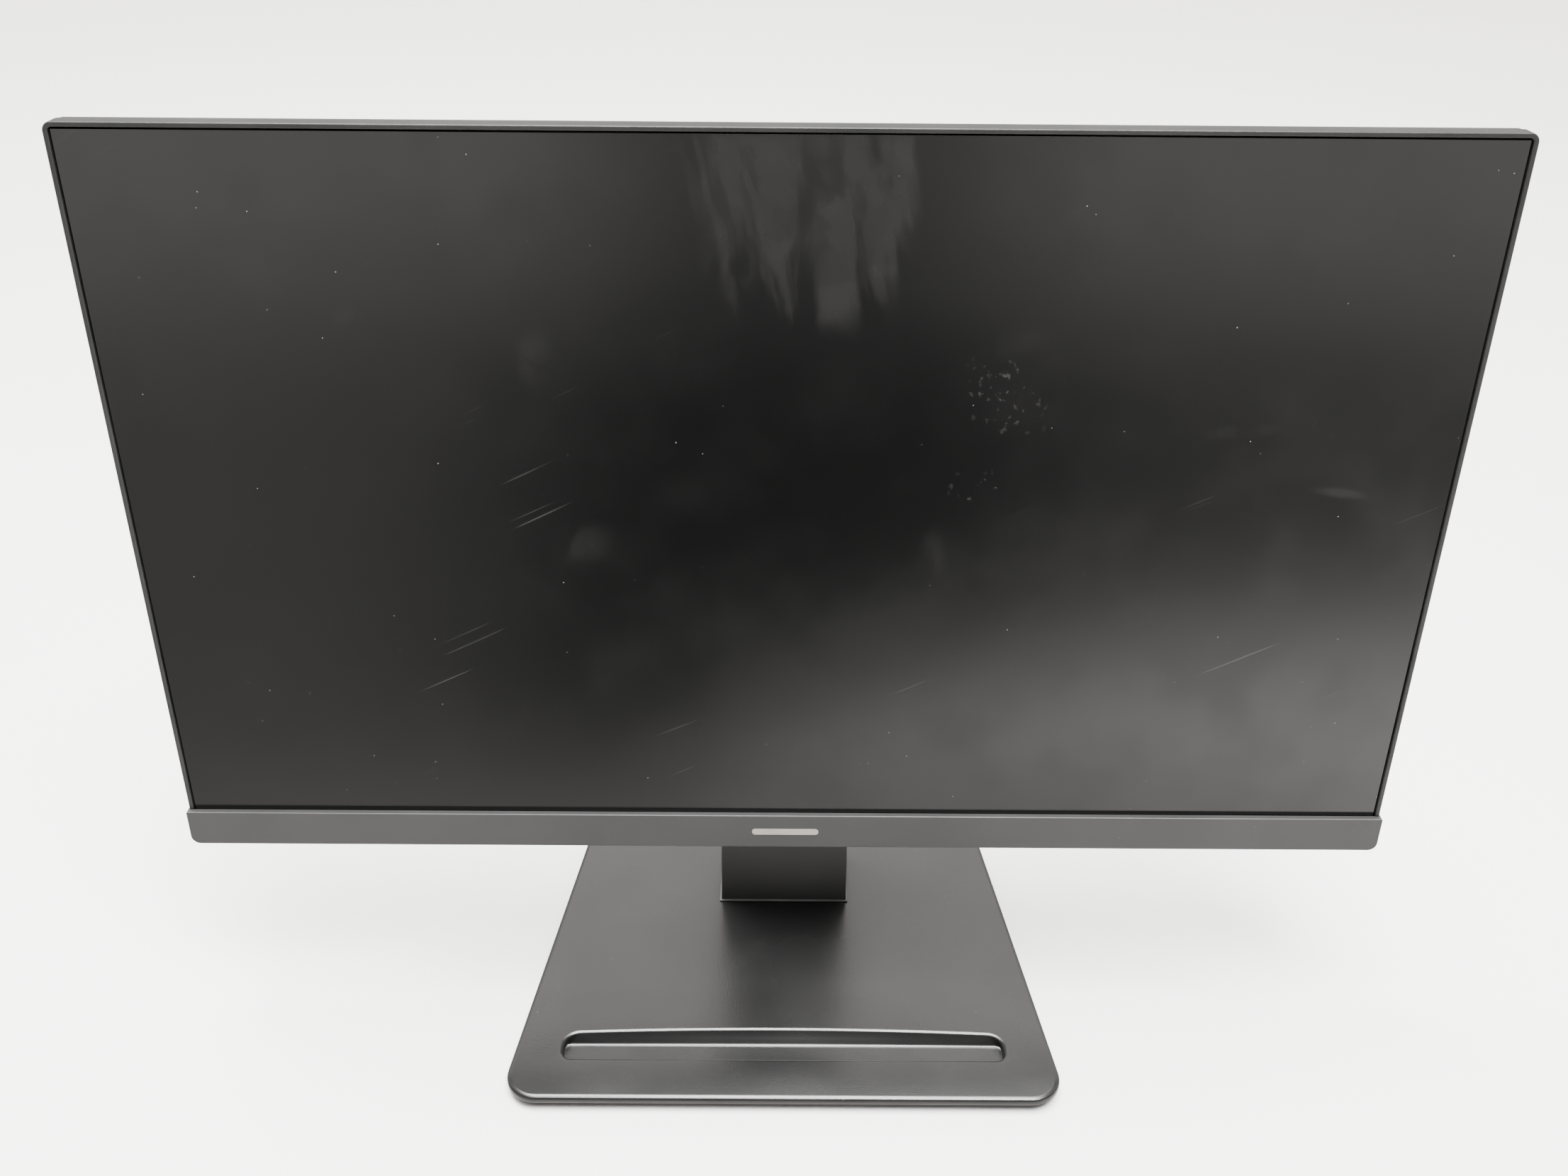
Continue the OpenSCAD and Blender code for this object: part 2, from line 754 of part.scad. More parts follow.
// Half of the neck's shell with its thin foot
module neck_half(y0, y1) {
  intersection() {
    difference() {
      union() {
        neck_volume(0, base_h);
        box([-neck_foot_w / 2 - 0.9, neck_front_y - neck_foot_reach - 0.7, base_h],
            [neck_foot_w / 2 + 0.9, hinge_y + neck_t / 2 + 0.7, base_h + 1]);
      }
      neck_volume(neck_wall, base_h - 1);
    }
    box([-50, y0, 0], [50, y1, 300]);
  }
}

// Front cover, open at its top where the ears come through
module neck_front_cover() {
  color(charcoal) difference() {
    neck_half(0, hinge_y);
    box([-23, 0, hinge_z - 13], [23, hinge_y + 1, hinge_z + 20]);
  }
}

module neck_rear_cover() {
  color(charcoal) neck_half(hinge_y, 100);
}

// ---------- base ----------

// Outline of the base in plan, moved inwards by t
module base_outline(t) {
  lean = (base_front_w - base_back_w) / 2 / base_d;
  front = base_front_w / 2 - t * (1 - lean);
  back = base_back_w / 2 - t * (1 + lean);
  rounded([[-front, -base_d / 2 + t], [front, -base_d / 2 + t],
           [back, base_d / 2 - t], [-back, base_d / 2 - t]],
          [for (i = [0 : 3]) base_corner_r - t]);
}

// Slot for a phone: straight in front, a shallow arc at the back with a leaning wall
module phone_slot() {
  intersection() {
    translate([0, 0, tray_floor]) linear_extrude(10) intersection() {
      rounded([[-tray_w / 2, tray_front_y], [tray_w / 2, tray_front_y],
               [tray_w / 2, tray_back_y], [-tray_w / 2, tray_back_y]], [4.5, 4.5, 8, 8]);
      translate([0, tray_back_y - tray_back_arc_r]) circle(r = tray_back_arc_r, $fn = 1440);
    }
    bar(-tray_w, tray_w) polygon([
      [tray_front_y - 1, tray_floor], [tray_floor_back_y, tray_floor],
      [tray_back_y, base_h], [tray_back_y, base_h + 5], [tray_front_y - 1, base_h + 5]
    ]);
  }
}

// Moulded top of the base, open underneath, with its skirt set back under the edge
module base_cover() {
  color(charcoal) difference() {
    union() {
      translate([0, 0, edge_z]) linear_extrude(base_h - edge_z) base_outline(0);
      translate([0, 0, skirt_z]) linear_extrude(edge_z - skirt_z + 0.1) base_outline(skirt_back);
    }
    difference() {
      translate([0, 0, skirt_z - 1]) linear_extrude(base_h - cover_top_t - skirt_z + 1)
        base_outline(skirt_back + skirt_wall);
      box([-tray_w / 2 - 2, tray_front_y - 2, tray_floor - tray_floor_t],
          [tray_w / 2 + 2, tray_back_y + 2, base_h]);
    }
    phone_slot();
    box([-24.3, hinge_y - 11.3, 0], [24.3, hinge_y + 11.3, base_h + 1]);
  }
}

// Steel weight plate under the cover, behind the phone slot
module base_plate() {
  color(steel_grey) difference() {
    translate([0, 0, plate_z[0]]) linear_extrude(plate_z[1] - plate_z[0]) intersection() {
      base_outline(skirt_back + skirt_wall + 0.4);
      translate([-200, tray_back_y + 4]) square([400, 300]);
    }
    rod_z(0, 20, 0, hinge_y, 3.2);
    at_plate_screws() rod_z(0, 20, 0, 0, 1.7);
  }
}

module at_plate_screws() {
  for (x = [-1, 1]) {
    translate([x * 100, -50, 0]) children();
    translate([x * 82, 80, 0]) children();
  }
}

// Four screws from below, through the plate
module base_cover_screws() {
  color(deep_black) at_plate_screws() {
    rod_z(2.8, plate_z[0] - 0.02, 0, 0, 2.9);
    rod_z(plate_z[0] - 0.1, plate_z[1] - 0.1, 0, 0, 1.6);
  }
}

// Rubber feet: three under the front rail and two under the plate
module rubber_feet() {
  foot_r = 7;
  color(deep_black) {
    for (x = [-88, 0, 88]) rod_z(0, tray_floor - tray_floor_t, x, -77, foot_r);
    for (x = [-72, 72]) rod_z(0, plate_z[0], x, 90, foot_r);
  }
}

// Hand screw that holds the neck, seen from below
module base_screw() {
  color(steel_grey) translate([0, hinge_y, 0]) difference() {
    union() {
      rod_z(screw_head_z[0], screw_head_z[1], 0, 0, 8);
      rod_z(screw_head_z[1] - 0.1, 22, 0, 0, 3);
    }
    rod_x(-9, -6.2, 0, bail_z, bail_pin_r + running);
    rod_x(6.2, 9, 0, bail_z, bail_pin_r + running);
  }
}

// Folding loop of the hand screw, lying flat round its head
module screw_bail() {
  loop_in = 8.4;
  loop_out = 10;
  loop_t = 1.6;
  past_pivot = 0.5;
  color(socket_metal) translate([0, hinge_y, bail_z]) {
    translate([0, 0, -loop_t / 2]) linear_extrude(loop_t) difference() {
      circle(r = loop_out);
      circle(r = loop_in);
      translate([-loop_out - 1, -loop_out - 1])
        square([2 * loop_out + 2, loop_out + 1 - past_pivot]);
    }
    for (side = [0, 1]) mirror([side, 0, 0])
      rod_x(6.6, loop_out - 0.4, 0, 0, bail_pin_r);
  }
}

chin_bar();
chin_badge();
indicator_lens();
front_frame();
lcd_cell();
film_stack();
light_guide();
reflector_sheet();
led_bar();
panel_frame();
backlight_tray();
source_board();
driver_flexes();
rear_cover();
chassis_bracket();
main_board();
board_shield();
hdmi_socket();
vga_socket();
audio_jack();
dc_jack();
panel_cable();
backlight_cable();
nav_cable();
nav_board();
nav_switch_base();
nav_rocker();
nav_lever();
nav_cap();
lock_plate();
cover_screws();
hinge_plate();
hinge_plate_screws();
hinge_shaft();
hinge_nut();
friction_washers();
neck_core();
neck_front_cover();
neck_rear_cover();
base_cover();
base_plate();
base_cover_screws();
rubber_feet();
base_screw();
screw_bail();
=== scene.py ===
# %% [markdown]
# # Desktop monitor on a plain neck and a tapered base
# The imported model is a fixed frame: each part is already in its place and at its size. This script
# loads it, rebuilds the mouldings that need soft edges, adds small details and gives every surface
# its finish. Lengths are in metres, with X to the viewer's right, Y away from the viewer and Z up.

import json
import math

import bmesh
import bpy
from mathutils import Matrix, Vector


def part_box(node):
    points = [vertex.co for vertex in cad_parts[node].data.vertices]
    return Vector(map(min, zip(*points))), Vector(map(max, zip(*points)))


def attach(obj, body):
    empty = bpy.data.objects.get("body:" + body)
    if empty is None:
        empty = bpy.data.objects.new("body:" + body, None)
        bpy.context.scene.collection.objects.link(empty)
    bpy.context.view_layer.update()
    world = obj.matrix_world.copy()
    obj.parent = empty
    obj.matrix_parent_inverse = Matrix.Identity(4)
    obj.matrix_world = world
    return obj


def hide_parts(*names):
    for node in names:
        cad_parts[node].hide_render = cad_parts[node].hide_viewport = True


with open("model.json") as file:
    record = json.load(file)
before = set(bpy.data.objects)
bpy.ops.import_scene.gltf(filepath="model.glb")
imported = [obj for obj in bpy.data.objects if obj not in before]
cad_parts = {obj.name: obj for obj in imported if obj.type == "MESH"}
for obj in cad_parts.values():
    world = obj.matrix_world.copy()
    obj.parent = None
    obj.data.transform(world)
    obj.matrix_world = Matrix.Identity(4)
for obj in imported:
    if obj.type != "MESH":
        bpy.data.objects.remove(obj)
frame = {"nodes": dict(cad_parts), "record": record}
nodes, record = frame["nodes"], frame["record"]
scene = bpy.context.scene
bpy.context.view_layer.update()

# %% [markdown]
# ## Head space
# The head leans back by a few degrees, so its parts are easier to describe in a tilted frame: x to
# the right, y from the bezel's front towards the back and z up along the screen, in millimetres.
# The wall mount's place and axis in the record fix that frame without any further number.

# %% Head space
MM = 0.001
wall_mount = next(m for m in record["mounts"] if m["name"] == "wall_mount")
back = Vector(wall_mount["axis"]).normalized()
right = Vector((1, 0, 0))
up = right.cross(back)
WALL_MOUNT_Y, WALL_MOUNT_Z = 39.9, 115.0
head_origin = Vector(wall_mount["pos_m"]) - (back * WALL_MOUNT_Y + up * WALL_MOUNT_Z) * MM


def in_head(x, y, z):
    return head_origin + (right * x + back * y + up * z) * MM


def on_desk(x, y, z):
    return Vector((x, y, z)) * MM


tilt = math.atan2(-back.z, back.y)
print("head leans back by", round(math.degrees(tilt), 2), "degrees")
print("its origin is", [round(v, 4) for v in head_origin])

# %% [markdown]
# ## Camera
# The viewer stands over the desk: the camera is a little in front of the base and well above the
# head, and looks down at it. The lens is 35 mm on a 36 mm wide film, and the horizon is level to
# within half a degree, as it is when a camera is held by hand.

# %% Camera
base_low, base_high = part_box("base_cover")
camera_data = bpy.data.cameras.new("camera")
camera = bpy.data.objects.new("camera", camera_data)
scene.collection.objects.link(camera)
scene.camera = camera
camera_data.sensor_width = 36.0
camera_data.lens = 35.14
camera_data.clip_start = 0.01
IN_FRONT_OF_BASE, EYE_HEIGHT, TO_THE_LEFT = 0.4433, 0.573, 0.004
pitch, yaw, roll = math.radians(33.39), math.radians(0.27), math.radians(-0.53)
camera.location = (-TO_THE_LEFT, base_low.y - IN_FRONT_OF_BASE, EYE_HEIGHT)
looking = Matrix.Rotation(-yaw, 3, "Z") @ Matrix.Rotation(math.pi / 2 - pitch, 3, "X")
camera.rotation_euler = (looking @ Matrix.Rotation(-roll, 3, "Z")).to_euler()
print("camera at", [round(v, 4) for v in camera.location])

# %% [markdown]
# ## Meshes from rings
# A moulded cover is an outline with rounded corners that is drawn in or out while it rises. So each
# cover is built as a stack of rings: the same outline at several insets and heights, with quads
# between neighbours. A roundover is then a quarter circle of rings, and every edge catches light.
# A Bevel modifier could round a box as well, but it can't follow a leaning or shaped wall so evenly.

# %% Outlines and rings
def rounded_outline(corners, radii, steps=8):
    """Corner arcs of a convex outline, anticlockwise: each point as centre, direction and radius."""
    out = []
    count = len(corners)
    for i in range(count):
        before, here, after = (Vector(corners[(i + k) % count]) for k in (-1, 0, 1))
        to_before, to_after = (before - here).normalized(), (after - here).normalized()
        half = to_before.angle(to_after) / 2
        centre = here + (to_before + to_after).normalized() * radii[i] / math.sin(half)
        start = Vector((-(here - before).normalized().y, (here - before).normalized().x)) * -1
        end = Vector((-(after - here).normalized().y, (after - here).normalized().x)) * -1
        for s in range(steps + 1):
            out.append((centre, start.slerp(end, s / steps).normalized(), radii[i]))
    return out


def inset(outline, t):
    """The outline's points moved inwards by t."""
    return [centre + direction * (radius - t) for centre, direction, radius in outline]


def bridge(bm, ring_a, ring_b):
    for i in range(len(ring_a)):
        j = (i + 1) % len(ring_a)
        bm.faces.new((ring_a[i], ring_a[j], ring_b[j], ring_b[i]))


def quarter(radius, steps):
    """Insets and drops of a roundover, from its wall to its flat."""
    angles = [math.pi / 2 * s / steps for s in range(steps + 1)]
    return [(radius * (1 - math.cos(a)), radius * math.sin(a)) for a in angles]


def finish_mesh(name, bm, sharp=40):
    """Turns a bmesh into an object with smooth shading and faces that point outwards."""
    bmesh.ops.remove_doubles(bm, verts=bm.verts, dist=1e-7)
    bmesh.ops.recalc_face_normals(bm, faces=bm.faces)
    mesh = bpy.data.meshes.new(name)
    bm.to_mesh(mesh)
    bm.free()
    obj = bpy.data.objects.new(name, mesh)
    scene.collection.objects.link(obj)
    mesh.shade_smooth()
    mesh.set_sharp_from_angle(angle=math.radians(sharp))
    return obj


def plain_mesh(obj):
    """Replaces an object's mesh by what its modifiers make of it, and removes them."""
    made = bpy.data.meshes.new_from_object(obj.evaluated_get(bpy.context.evaluated_depsgraph_get()))
    obj.modifiers.clear()
    obj.data = made
    return obj


def report(obj):
    print(f"{obj.name}: {len(obj.data.vertices)} points, {len(obj.data.polygons)} faces")
    return obj


# %% [markdown]
# ## Softened copies
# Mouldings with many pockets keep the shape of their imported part. A copy of the part is merged, its
# flat areas are joined into single faces, and a Bevel modifier rounds the edges that are left. The
# part itself isn't touched: the copy stands for it.

# %% Softened copies
def soften(node, name, width, segments=2, sharp=35):
    bm = bmesh.new()
    bm.from_mesh(nodes[node].data)
    bmesh.ops.remove_doubles(bm, verts=bm.verts, dist=2e-6)
    flat = math.radians(0.6)
    bmesh.ops.dissolve_limit(bm, angle_limit=flat, verts=bm.verts, edges=bm.edges, delimit={"NORMAL"})
    obj = finish_mesh(name, bm, sharp)
    bevel = obj.modifiers.new("edge", "BEVEL")
    bevel.width, bevel.segments = width * MM, segments
    bevel.limit_method, bevel.angle_limit = "ANGLE", math.radians(sharp)
    even = obj.modifiers.new("even shading", "WEIGHTED_NORMAL")
    even.keep_sharp = True
    return report(plain_mesh(obj))


# %% [markdown]
# ## Base cover
# The base is one injection moulding: a tapered plate with rounded corners, a soft edge all round and
# a slot for a phone along its front. It is built from rings for the outside, a filled top between
# the outside and the slot's rim, and more rings that go down into the slot.
# A true quarter circle would show the ceiling in a line thinner than a hair. So the edge and the
# slot's rim are flattened roundovers: part of each leans by some twenty degrees, the slope that
# shows the ceiling lamp to someone who stands over the desk. Each is a list of insets and drops.

# %% Base cover: outline and edge
BASE_TOP, BASE_EDGE_Z, BASE_SKIRT, COVER_UNDERSIDE = 8.5, 4.8, 1.8, 6.5
HALF_FRONT, HALF_BACK, CORNER_RADIUS = 127.0, 97.85, 14
SKIRT_BACK, SKIRT_WALL = 3.0, 2.0
BASE_LIP = [(0, 1.6), (0.06, 1.25), (0.22, 0.92), (0.45, 0.66), (0.75, 0.47), (1.1, 0.32),
            (1.45, 0.18), (1.75, 0.07), (2.05, 0.01), (2.4, 0)]
SLOT_LIP = [(0, 0), (0.3, 0.02), (0.55, 0.09), (0.85, 0.21), (1.15, 0.34), (1.4, 0.50),
            (1.6, 0.72), (1.75, 1.0)]
SLOT_LIP_OUT, SLOT_LIP_IN = 1.1, 0.65
SLOT_FLOOR, SLOT_MIDDLE, SLOT_FRONT, SLOT_RISE = 2.9, -79.3, -86.0, 0.5
RAIL_HALF, RAIL_FRONT, RAIL_BACK, RAIL_UNDERSIDE = 104, -88, -66.2, 1.7
base_half_depth = base_high.y / MM
base_corners = [(-HALF_FRONT, -base_half_depth), (HALF_FRONT, -base_half_depth),
                (HALF_BACK, base_half_depth), (-HALF_BACK, base_half_depth)]
base_outline = rounded_outline(base_corners, [CORNER_RADIUS] * 4, 14)
print("base:", round(2 * base_half_depth, 1), "mm deep and", BASE_TOP, "mm high")


def ring(bm, points, height, place=on_desk):
    return [bm.verts.new(place(p[0], p[1], height)) for p in points]


def slot_outline(depth, steps=24):
    """The phone slot's rim (depth 0) or floor (depth 1).

    The rim's rear is a shallow arc and the floor's is straight.
    """
    half, front = 102.0 - 0.5 * depth, SLOT_FRONT + 0.35 * depth
    rear, arc = -68.2 - 4.8 * depth, 2070.0
    r_front, r_back = 4.5 - 0.5 * depth, 8.0 - 5.0 * depth

    def sag(x):
        return (1 - depth) * (arc - math.sqrt(arc * arc - x * x))

    points = []

    def corner(x, y, radius, start):
        for s in range(9):
            a = math.radians(start + 90 * s / 8)
            points.append((x + radius * math.cos(a), y + radius * math.sin(a)))

    corner(-half + r_front, front + r_front, r_front, 180)
    corner(half - r_front, front + r_front, r_front, 270)
    flat = half - r_back
    corner(flat, rear - sag(flat) - r_back, r_back, 0)
    for s in range(1, steps):
        x = flat * (1 - 2 * s / steps)
        points.append((x, rear - sag(x)))
    corner(-flat, rear - sag(flat) - r_back, r_back, 90)
    return points


def outwards(points, amount):
    """Moves a slot's points away from the slot by an amount, along their own normals."""
    out = []
    count = len(points)
    for i, point in enumerate(points):
        before, after = Vector(points[i - 1]), Vector(points[(i + 1) % count])
        along = (after - before).normalized()
        out.append((point[0] + along.y * amount, point[1] - along.x * amount))
    return out


# %% Base cover: outside, slot and underside
def outside_rings(bm):
    """From the underside of the top down the skirt's inside, round its foot and up to the top's edge."""
    foot, edge = 0.3, 0.5
    inner = SKIRT_BACK + SKIRT_WALL
    path = [(inner, COVER_UNDERSIDE), (inner, BASE_SKIRT), (SKIRT_BACK + foot, BASE_SKIRT),
            (SKIRT_BACK, BASE_SKIRT + foot), (SKIRT_BACK, BASE_EDGE_Z - edge),
            (SKIRT_BACK - edge, BASE_EDGE_Z)]
    path += [(t, BASE_EDGE_Z + edge - drop) for t, drop in reversed(quarter(edge, 3))]
    path += [(t, BASE_TOP - drop) for t, drop in BASE_LIP]
    return [ring(bm, inset(base_outline, t), z) for t, z in path]


def slot_rings(bm):
    """From the top down over the slot's rim and leaning wall to its floor, which rises to the back."""
    rim, floor_line = slot_outline(0), slot_outline(1)
    lip = [ring(bm, outwards(rim, SLOT_LIP_OUT - t), BASE_TOP - drop) for t, drop in SLOT_LIP]
    wall = list(zip(outwards(rim, -SLOT_LIP_IN), outwards(floor_line, 0.0)))
    rings = []
    for share, height in ((0.5, 5.3), (0.86, 3.7), (0.96, 3.2)):
        rings.append(ring(bm, [Vector(top).lerp(Vector(foot), share) for top, foot in wall], height))
    floor_edge = outwards(floor_line, -0.5)
    for share in (0.0, 0.2, 0.4, 0.6, 0.8, 0.92):
        line = [(x * (1 - 0.02 * share), y + (SLOT_MIDDLE - y) * share) for x, y in floor_edge]
        rings.append(ring(bm, line, SLOT_FLOOR))
    for vert in (v for line in rings for v in line):
        rise = max(0.0, (vert.co.y / MM - SLOT_FRONT) / 13.0) ** 2
        below_top = (BASE_TOP - vert.co.z / MM) / (BASE_TOP - SLOT_FLOOR)
        vert.co.z += SLOT_RISE * MM * min(1.0, rise) * below_top
    return lip + rings


def build_base():
    bm = bmesh.new()
    outside, slot = outside_rings(bm), slot_rings(bm)
    rail = rounded_outline([(-RAIL_HALF, RAIL_FRONT), (RAIL_HALF, RAIL_FRONT),
                            (RAIL_HALF, RAIL_BACK), (-RAIL_HALF, RAIL_BACK)], [2] * 4, 3)
    well = [ring(bm, inset(rail, 0), z) for z in (COVER_UNDERSIDE, RAIL_UNDERSIDE)]
    for stack in (outside, slot, well):
        for lower, upper in zip(stack, stack[1:]):
            bridge(bm, lower, upper)
    bm.faces.new(slot[-1])
    bm.faces.new(well[-1])
    for outer, hole in ((outside[-1], slot[0]), (outside[0], well[0])):
        edges = [bm.edges.get((line[i - 1], line[i])) for line in (outer, hole) for i in range(len(line))]
        bmesh.ops.triangle_fill(bm, use_beauty=True, edges=edges)
    return bm


base_shell = report(finish_mesh("base_shell", build_base(), sharp=50))

# %% [markdown]
# ## Lower bezel, frame, glass, rear cover and neck
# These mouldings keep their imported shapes. The lower bezel and the neck have a crisp half
# millimetre edge, the slim frame a rounder one that draws a bright line round the screen, and the
# glass only a ground edge of a tenth of a millimetre.

# %% Softened mouldings
bezel = soften("chin_bar", "lower_bezel", 0.45, 3)
screen_frame = soften("front_frame", "screen_frame", 0.5, 3)
glass = soften("lcd_cell", "screen_glass", 0.14, 2)
rear_shell = soften("rear_cover", "rear_shell", 0.5, 2)
neck_front = soften("neck_front_cover", "neck_front", 0.5, 2)
neck_rear = soften("neck_rear_cover", "neck_rear", 0.5, 2)
hinge_bracket = soften("hinge_plate", "hinge_bracket", 0.35, 2)

# %% [markdown]
# ## Stick cap and folding loop
# The menu stick ends in a soft cap with a dished top, and the hand screw under the base has a
# loop of round wire. The cap is turned on a lathe of rings, the loop is one circle swept along a
# half turn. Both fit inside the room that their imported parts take.

# %% Stick cap
stick_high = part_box("nav_cap")[1]
STICK_X, STICK_Z = 215.0, 40.0


def turned(name, profile, place, sides=40):
    """A closed lathe shape: profile holds radius and height pairs from its first pole to its last."""
    bm = bmesh.new()
    loops = []
    for radius, height in profile:
        if radius == 0:
            loops.append([bm.verts.new(place(0, 0, height))])
            continue
        angles = [2 * math.pi * i / sides for i in range(sides)]
        round_loop = [(radius * math.cos(a), radius * math.sin(a)) for a in angles]
        loops.append([bm.verts.new(place(a, b, height)) for a, b in round_loop])
    for lower, upper in zip(loops, loops[1:]):
        if len(lower) == 1 or len(upper) == 1:
            pole, line = (lower[0], upper) if len(lower) == 1 else (upper[0], lower)
            for i in range(sides):
                bm.faces.new((pole, line[i], line[(i + 1) % sides]))
        else:
            bridge(bm, lower, upper)
    return finish_mesh(name, bm)


cap_profile = [(0, 16.9), (2.0, 16.65), (2.6, 16.7), (2.6, 17.15), (3.6, 17.25), (4.0, 17.6), (4.0, 21.2),
               (3.85, 21.7), (3.4, 22.1), (2.9, 22.2), (2.2, 22.0), (1.2, 21.75), (0, 21.7)]
stick_cap = report(turned("stick_cap", cap_profile, lambda a, b, h: in_head(STICK_X + a, h, STICK_Z + b)))

# %% Wire loop of the hand screw
screw_low, screw_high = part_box("base_screw")
screw_x, screw_y = (screw_low.x + screw_high.x) / 2, (screw_low.y + screw_high.y) / 2
loop_low, loop_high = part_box("screw_bail")
loop_z = (loop_low.z + loop_high.z) / 2


def swept(name, path, radius, sides=12):
    """A round wire along a path of points in one level plane, with domed ends."""
    bm = bmesh.new()
    rings = []
    for i, point in enumerate(path):
        along = (path[min(i + 1, len(path) - 1)] - path[max(i - 1, 0)]).normalized()
        side = along.cross(Vector((0, 0, 1))).normalized()
        over = side.cross(along)
        angles = [2 * math.pi * k / sides for k in range(sides)]
        spokes = [side * math.cos(a) + over * math.sin(a) for a in angles]
        rings.append([bm.verts.new(point + spoke * radius) for spoke in spokes])
    for first, second in zip(rings, rings[1:]):
        bridge(bm, first, second)
    for loop, last, before in ((rings[0], path[0], path[1]), (rings[-1], path[-1], path[-2])):
        tip = bm.verts.new(last * 1.5 - before * 0.5)
        for i in range(sides):
            bm.faces.new((tip, loop[i], loop[(i + 1) % sides]))
    return finish_mesh(name, bm, sharp=60)


wire = 0.78 * MM
reach = loop_high.x - screw_x - wire - 0.02 * MM
LEG_START, LEG_BEND = 6.8 * MM, 0.7 * MM
loop_path = [Vector((x, screw_y, loop_z)) for x in (screw_x - LEG_START, screw_x - reach + LEG_BEND)]
loop_path += [
    Vector((screw_x - reach * math.cos(a), screw_y + reach * math.sin(a), loop_z))
    for a in (math.pi * i / 32 for i in range(1, 32))
]
loop_path += [Vector((2 * screw_x - p.x, p.y, p.z)) for p in reversed(loop_path[:2])]
wire_loop = report(swept("wire_loop", loop_path, wire))

# %% [markdown]
# ## Repeated details with Geometry Nodes
# Ribs round a cap or a screw and the small parts of a circuit board all repeat one shape.
# Geometry Nodes are the right tool: the tree says how the shape repeats, and its inputs say how
# often and how large. Two small trees do all of them, one for a ring and one for rows.

# %% Node helper
def add(tree, kind, inputs=(), prefix="ShaderNode", **settings):
    """Adds a node; each input is either a plain value or a socket to link from."""
    node = tree.nodes.new(prefix + kind)
    for key, value in settings.items():
        setattr(node, key, value)
    for key, value in dict(inputs).items():
        if isinstance(value, bpy.types.NodeSocket):
            tree.links.new(value, node.inputs[key])
        else:
            node.inputs[key].default_value = value
    return node


def geo(tree, kind, inputs=(), **settings):
    return add(tree, kind, inputs, "GeometryNode", **settings)


def fn(tree, kind, inputs=(), **settings):
    return add(tree, kind, inputs, "FunctionNode", **settings)


def new_repeat(name, wanted):
    """A Geometry Nodes tree with named inputs; every tree also has a Material input."""
    tree = bpy.data.node_groups.new(name, "GeometryNodeTree")
    tree.interface.new_socket("Geometry", in_out="OUTPUT", socket_type="NodeSocketGeometry")
    for label, kind, value in wanted:
        socket = tree.interface.new_socket(label, in_out="INPUT", socket_type=kind)
        socket.default_value = value
    tree.interface.new_socket("Material", in_out="INPUT", socket_type="NodeSocketMaterial")
    return tree, tree.nodes.new("NodeGroupInput").outputs


def close_repeat(tree, given, instances):
    real = geo(tree, "RealizeInstances", {"Geometry": instances})
    painted = geo(tree, "SetMaterial", {"Geometry": real.outputs[0], "Material": given["Material"]})
    tree.links.new(painted.outputs[0], tree.nodes.new("NodeGroupOutput").inputs[0])


# %% Ribs round an axis
ribs, given = new_repeat("ribs_round_an_axis", [
    ("Count", "NodeSocketInt", 24), ("Radius", "NodeSocketFloat", 0.004),
    ("Rib size", "NodeSocketVector", (1, 1, 1)),
])
circle = geo(ribs, "MeshCircle", {"Vertices": given["Count"], "Radius": given["Radius"]})
step = add(ribs, "Math", {0: 2 * math.pi, 1: given["Count"]}, operation="DIVIDE")
turn = add(ribs, "Math", {0: geo(ribs, "InputIndex").outputs[0], 1: step.outputs[0]}, operation="MULTIPLY")
spin = add(ribs, "CombineXYZ", {"Z": turn.outputs[0]})
rib = geo(ribs, "MeshCube", {"Size": given["Rib size"]})
placed = geo(ribs, "InstanceOnPoints", {
    "Points": circle.outputs[0], "Instance": rib.outputs[0], "Rotation": spin.outputs[0]})
close_repeat(ribs, given, placed.outputs[0])
print("ribs tree:", len(ribs.nodes), "nodes")

# %% Rows of parts
rows, given = new_repeat("rows_of_parts", [
    ("Columns", "NodeSocketInt", 5), ("Rows", "NodeSocketInt", 3), ("Width", "NodeSocketFloat", 0.01),
    ("Depth", "NodeSocketFloat", 0.005), ("Part size", "NodeSocketVector", (1, 1, 1)),
    ("Round", "NodeSocketBool", False), ("Uneven", "NodeSocketFloat", 0.0),
    ("Missing", "NodeSocketFloat", 0.0), ("Seed", "NodeSocketInt", 3),
])
lattice = geo(rows, "MeshGrid", {
    "Size X": given["Width"], "Size Y": given["Depth"],
    "Vertices X": given["Columns"], "Vertices Y": given["Rows"]})
square = geo(rows, "MeshCube", {"Size": given["Part size"]})
unit_round = geo(rows, "MeshCylinder", {"Vertices": 10, "Radius": 0.5, "Depth": 1.0})
sized_round = geo(rows, "Transform", {"Geometry": unit_round.outputs[0], "Scale": given["Part size"]})
part = geo(rows, "Switch", {0: given["Round"], 1: square.outputs[0], 2: sized_round.outputs[0]},
           input_type="GEOMETRY")
keep = fn(rows, "RandomValue", {"Probability": 0.5, "Seed": given["Seed"]}, data_type="BOOLEAN")
share = add(rows, "Math", {0: 1.0, 1: given["Missing"]}, operation="SUBTRACT")
rows.links.new(share.outputs[0], keep.inputs["Probability"])
least = add(rows, "Math", {0: 1.0, 1: given["Uneven"]}, operation="SUBTRACT")
low_size = add(rows, "CombineXYZ", {"X": least.outputs[0], "Y": least.outputs[0], "Z": 1.0})
size = fn(rows, "RandomValue", {"Min": low_size.outputs[0], "Max": (1, 1, 1), "Seed": given["Seed"]},
          data_type="FLOAT_VECTOR")
placed = geo(rows, "InstanceOnPoints", {
    "Points": lattice.outputs[0], "Selection": keep.outputs[3], "Instance": part.outputs[0],
    "Scale": size.outputs[0]})
close_repeat(rows, given, placed.outputs[0])
print("rows tree:", len(rows.nodes), "nodes")


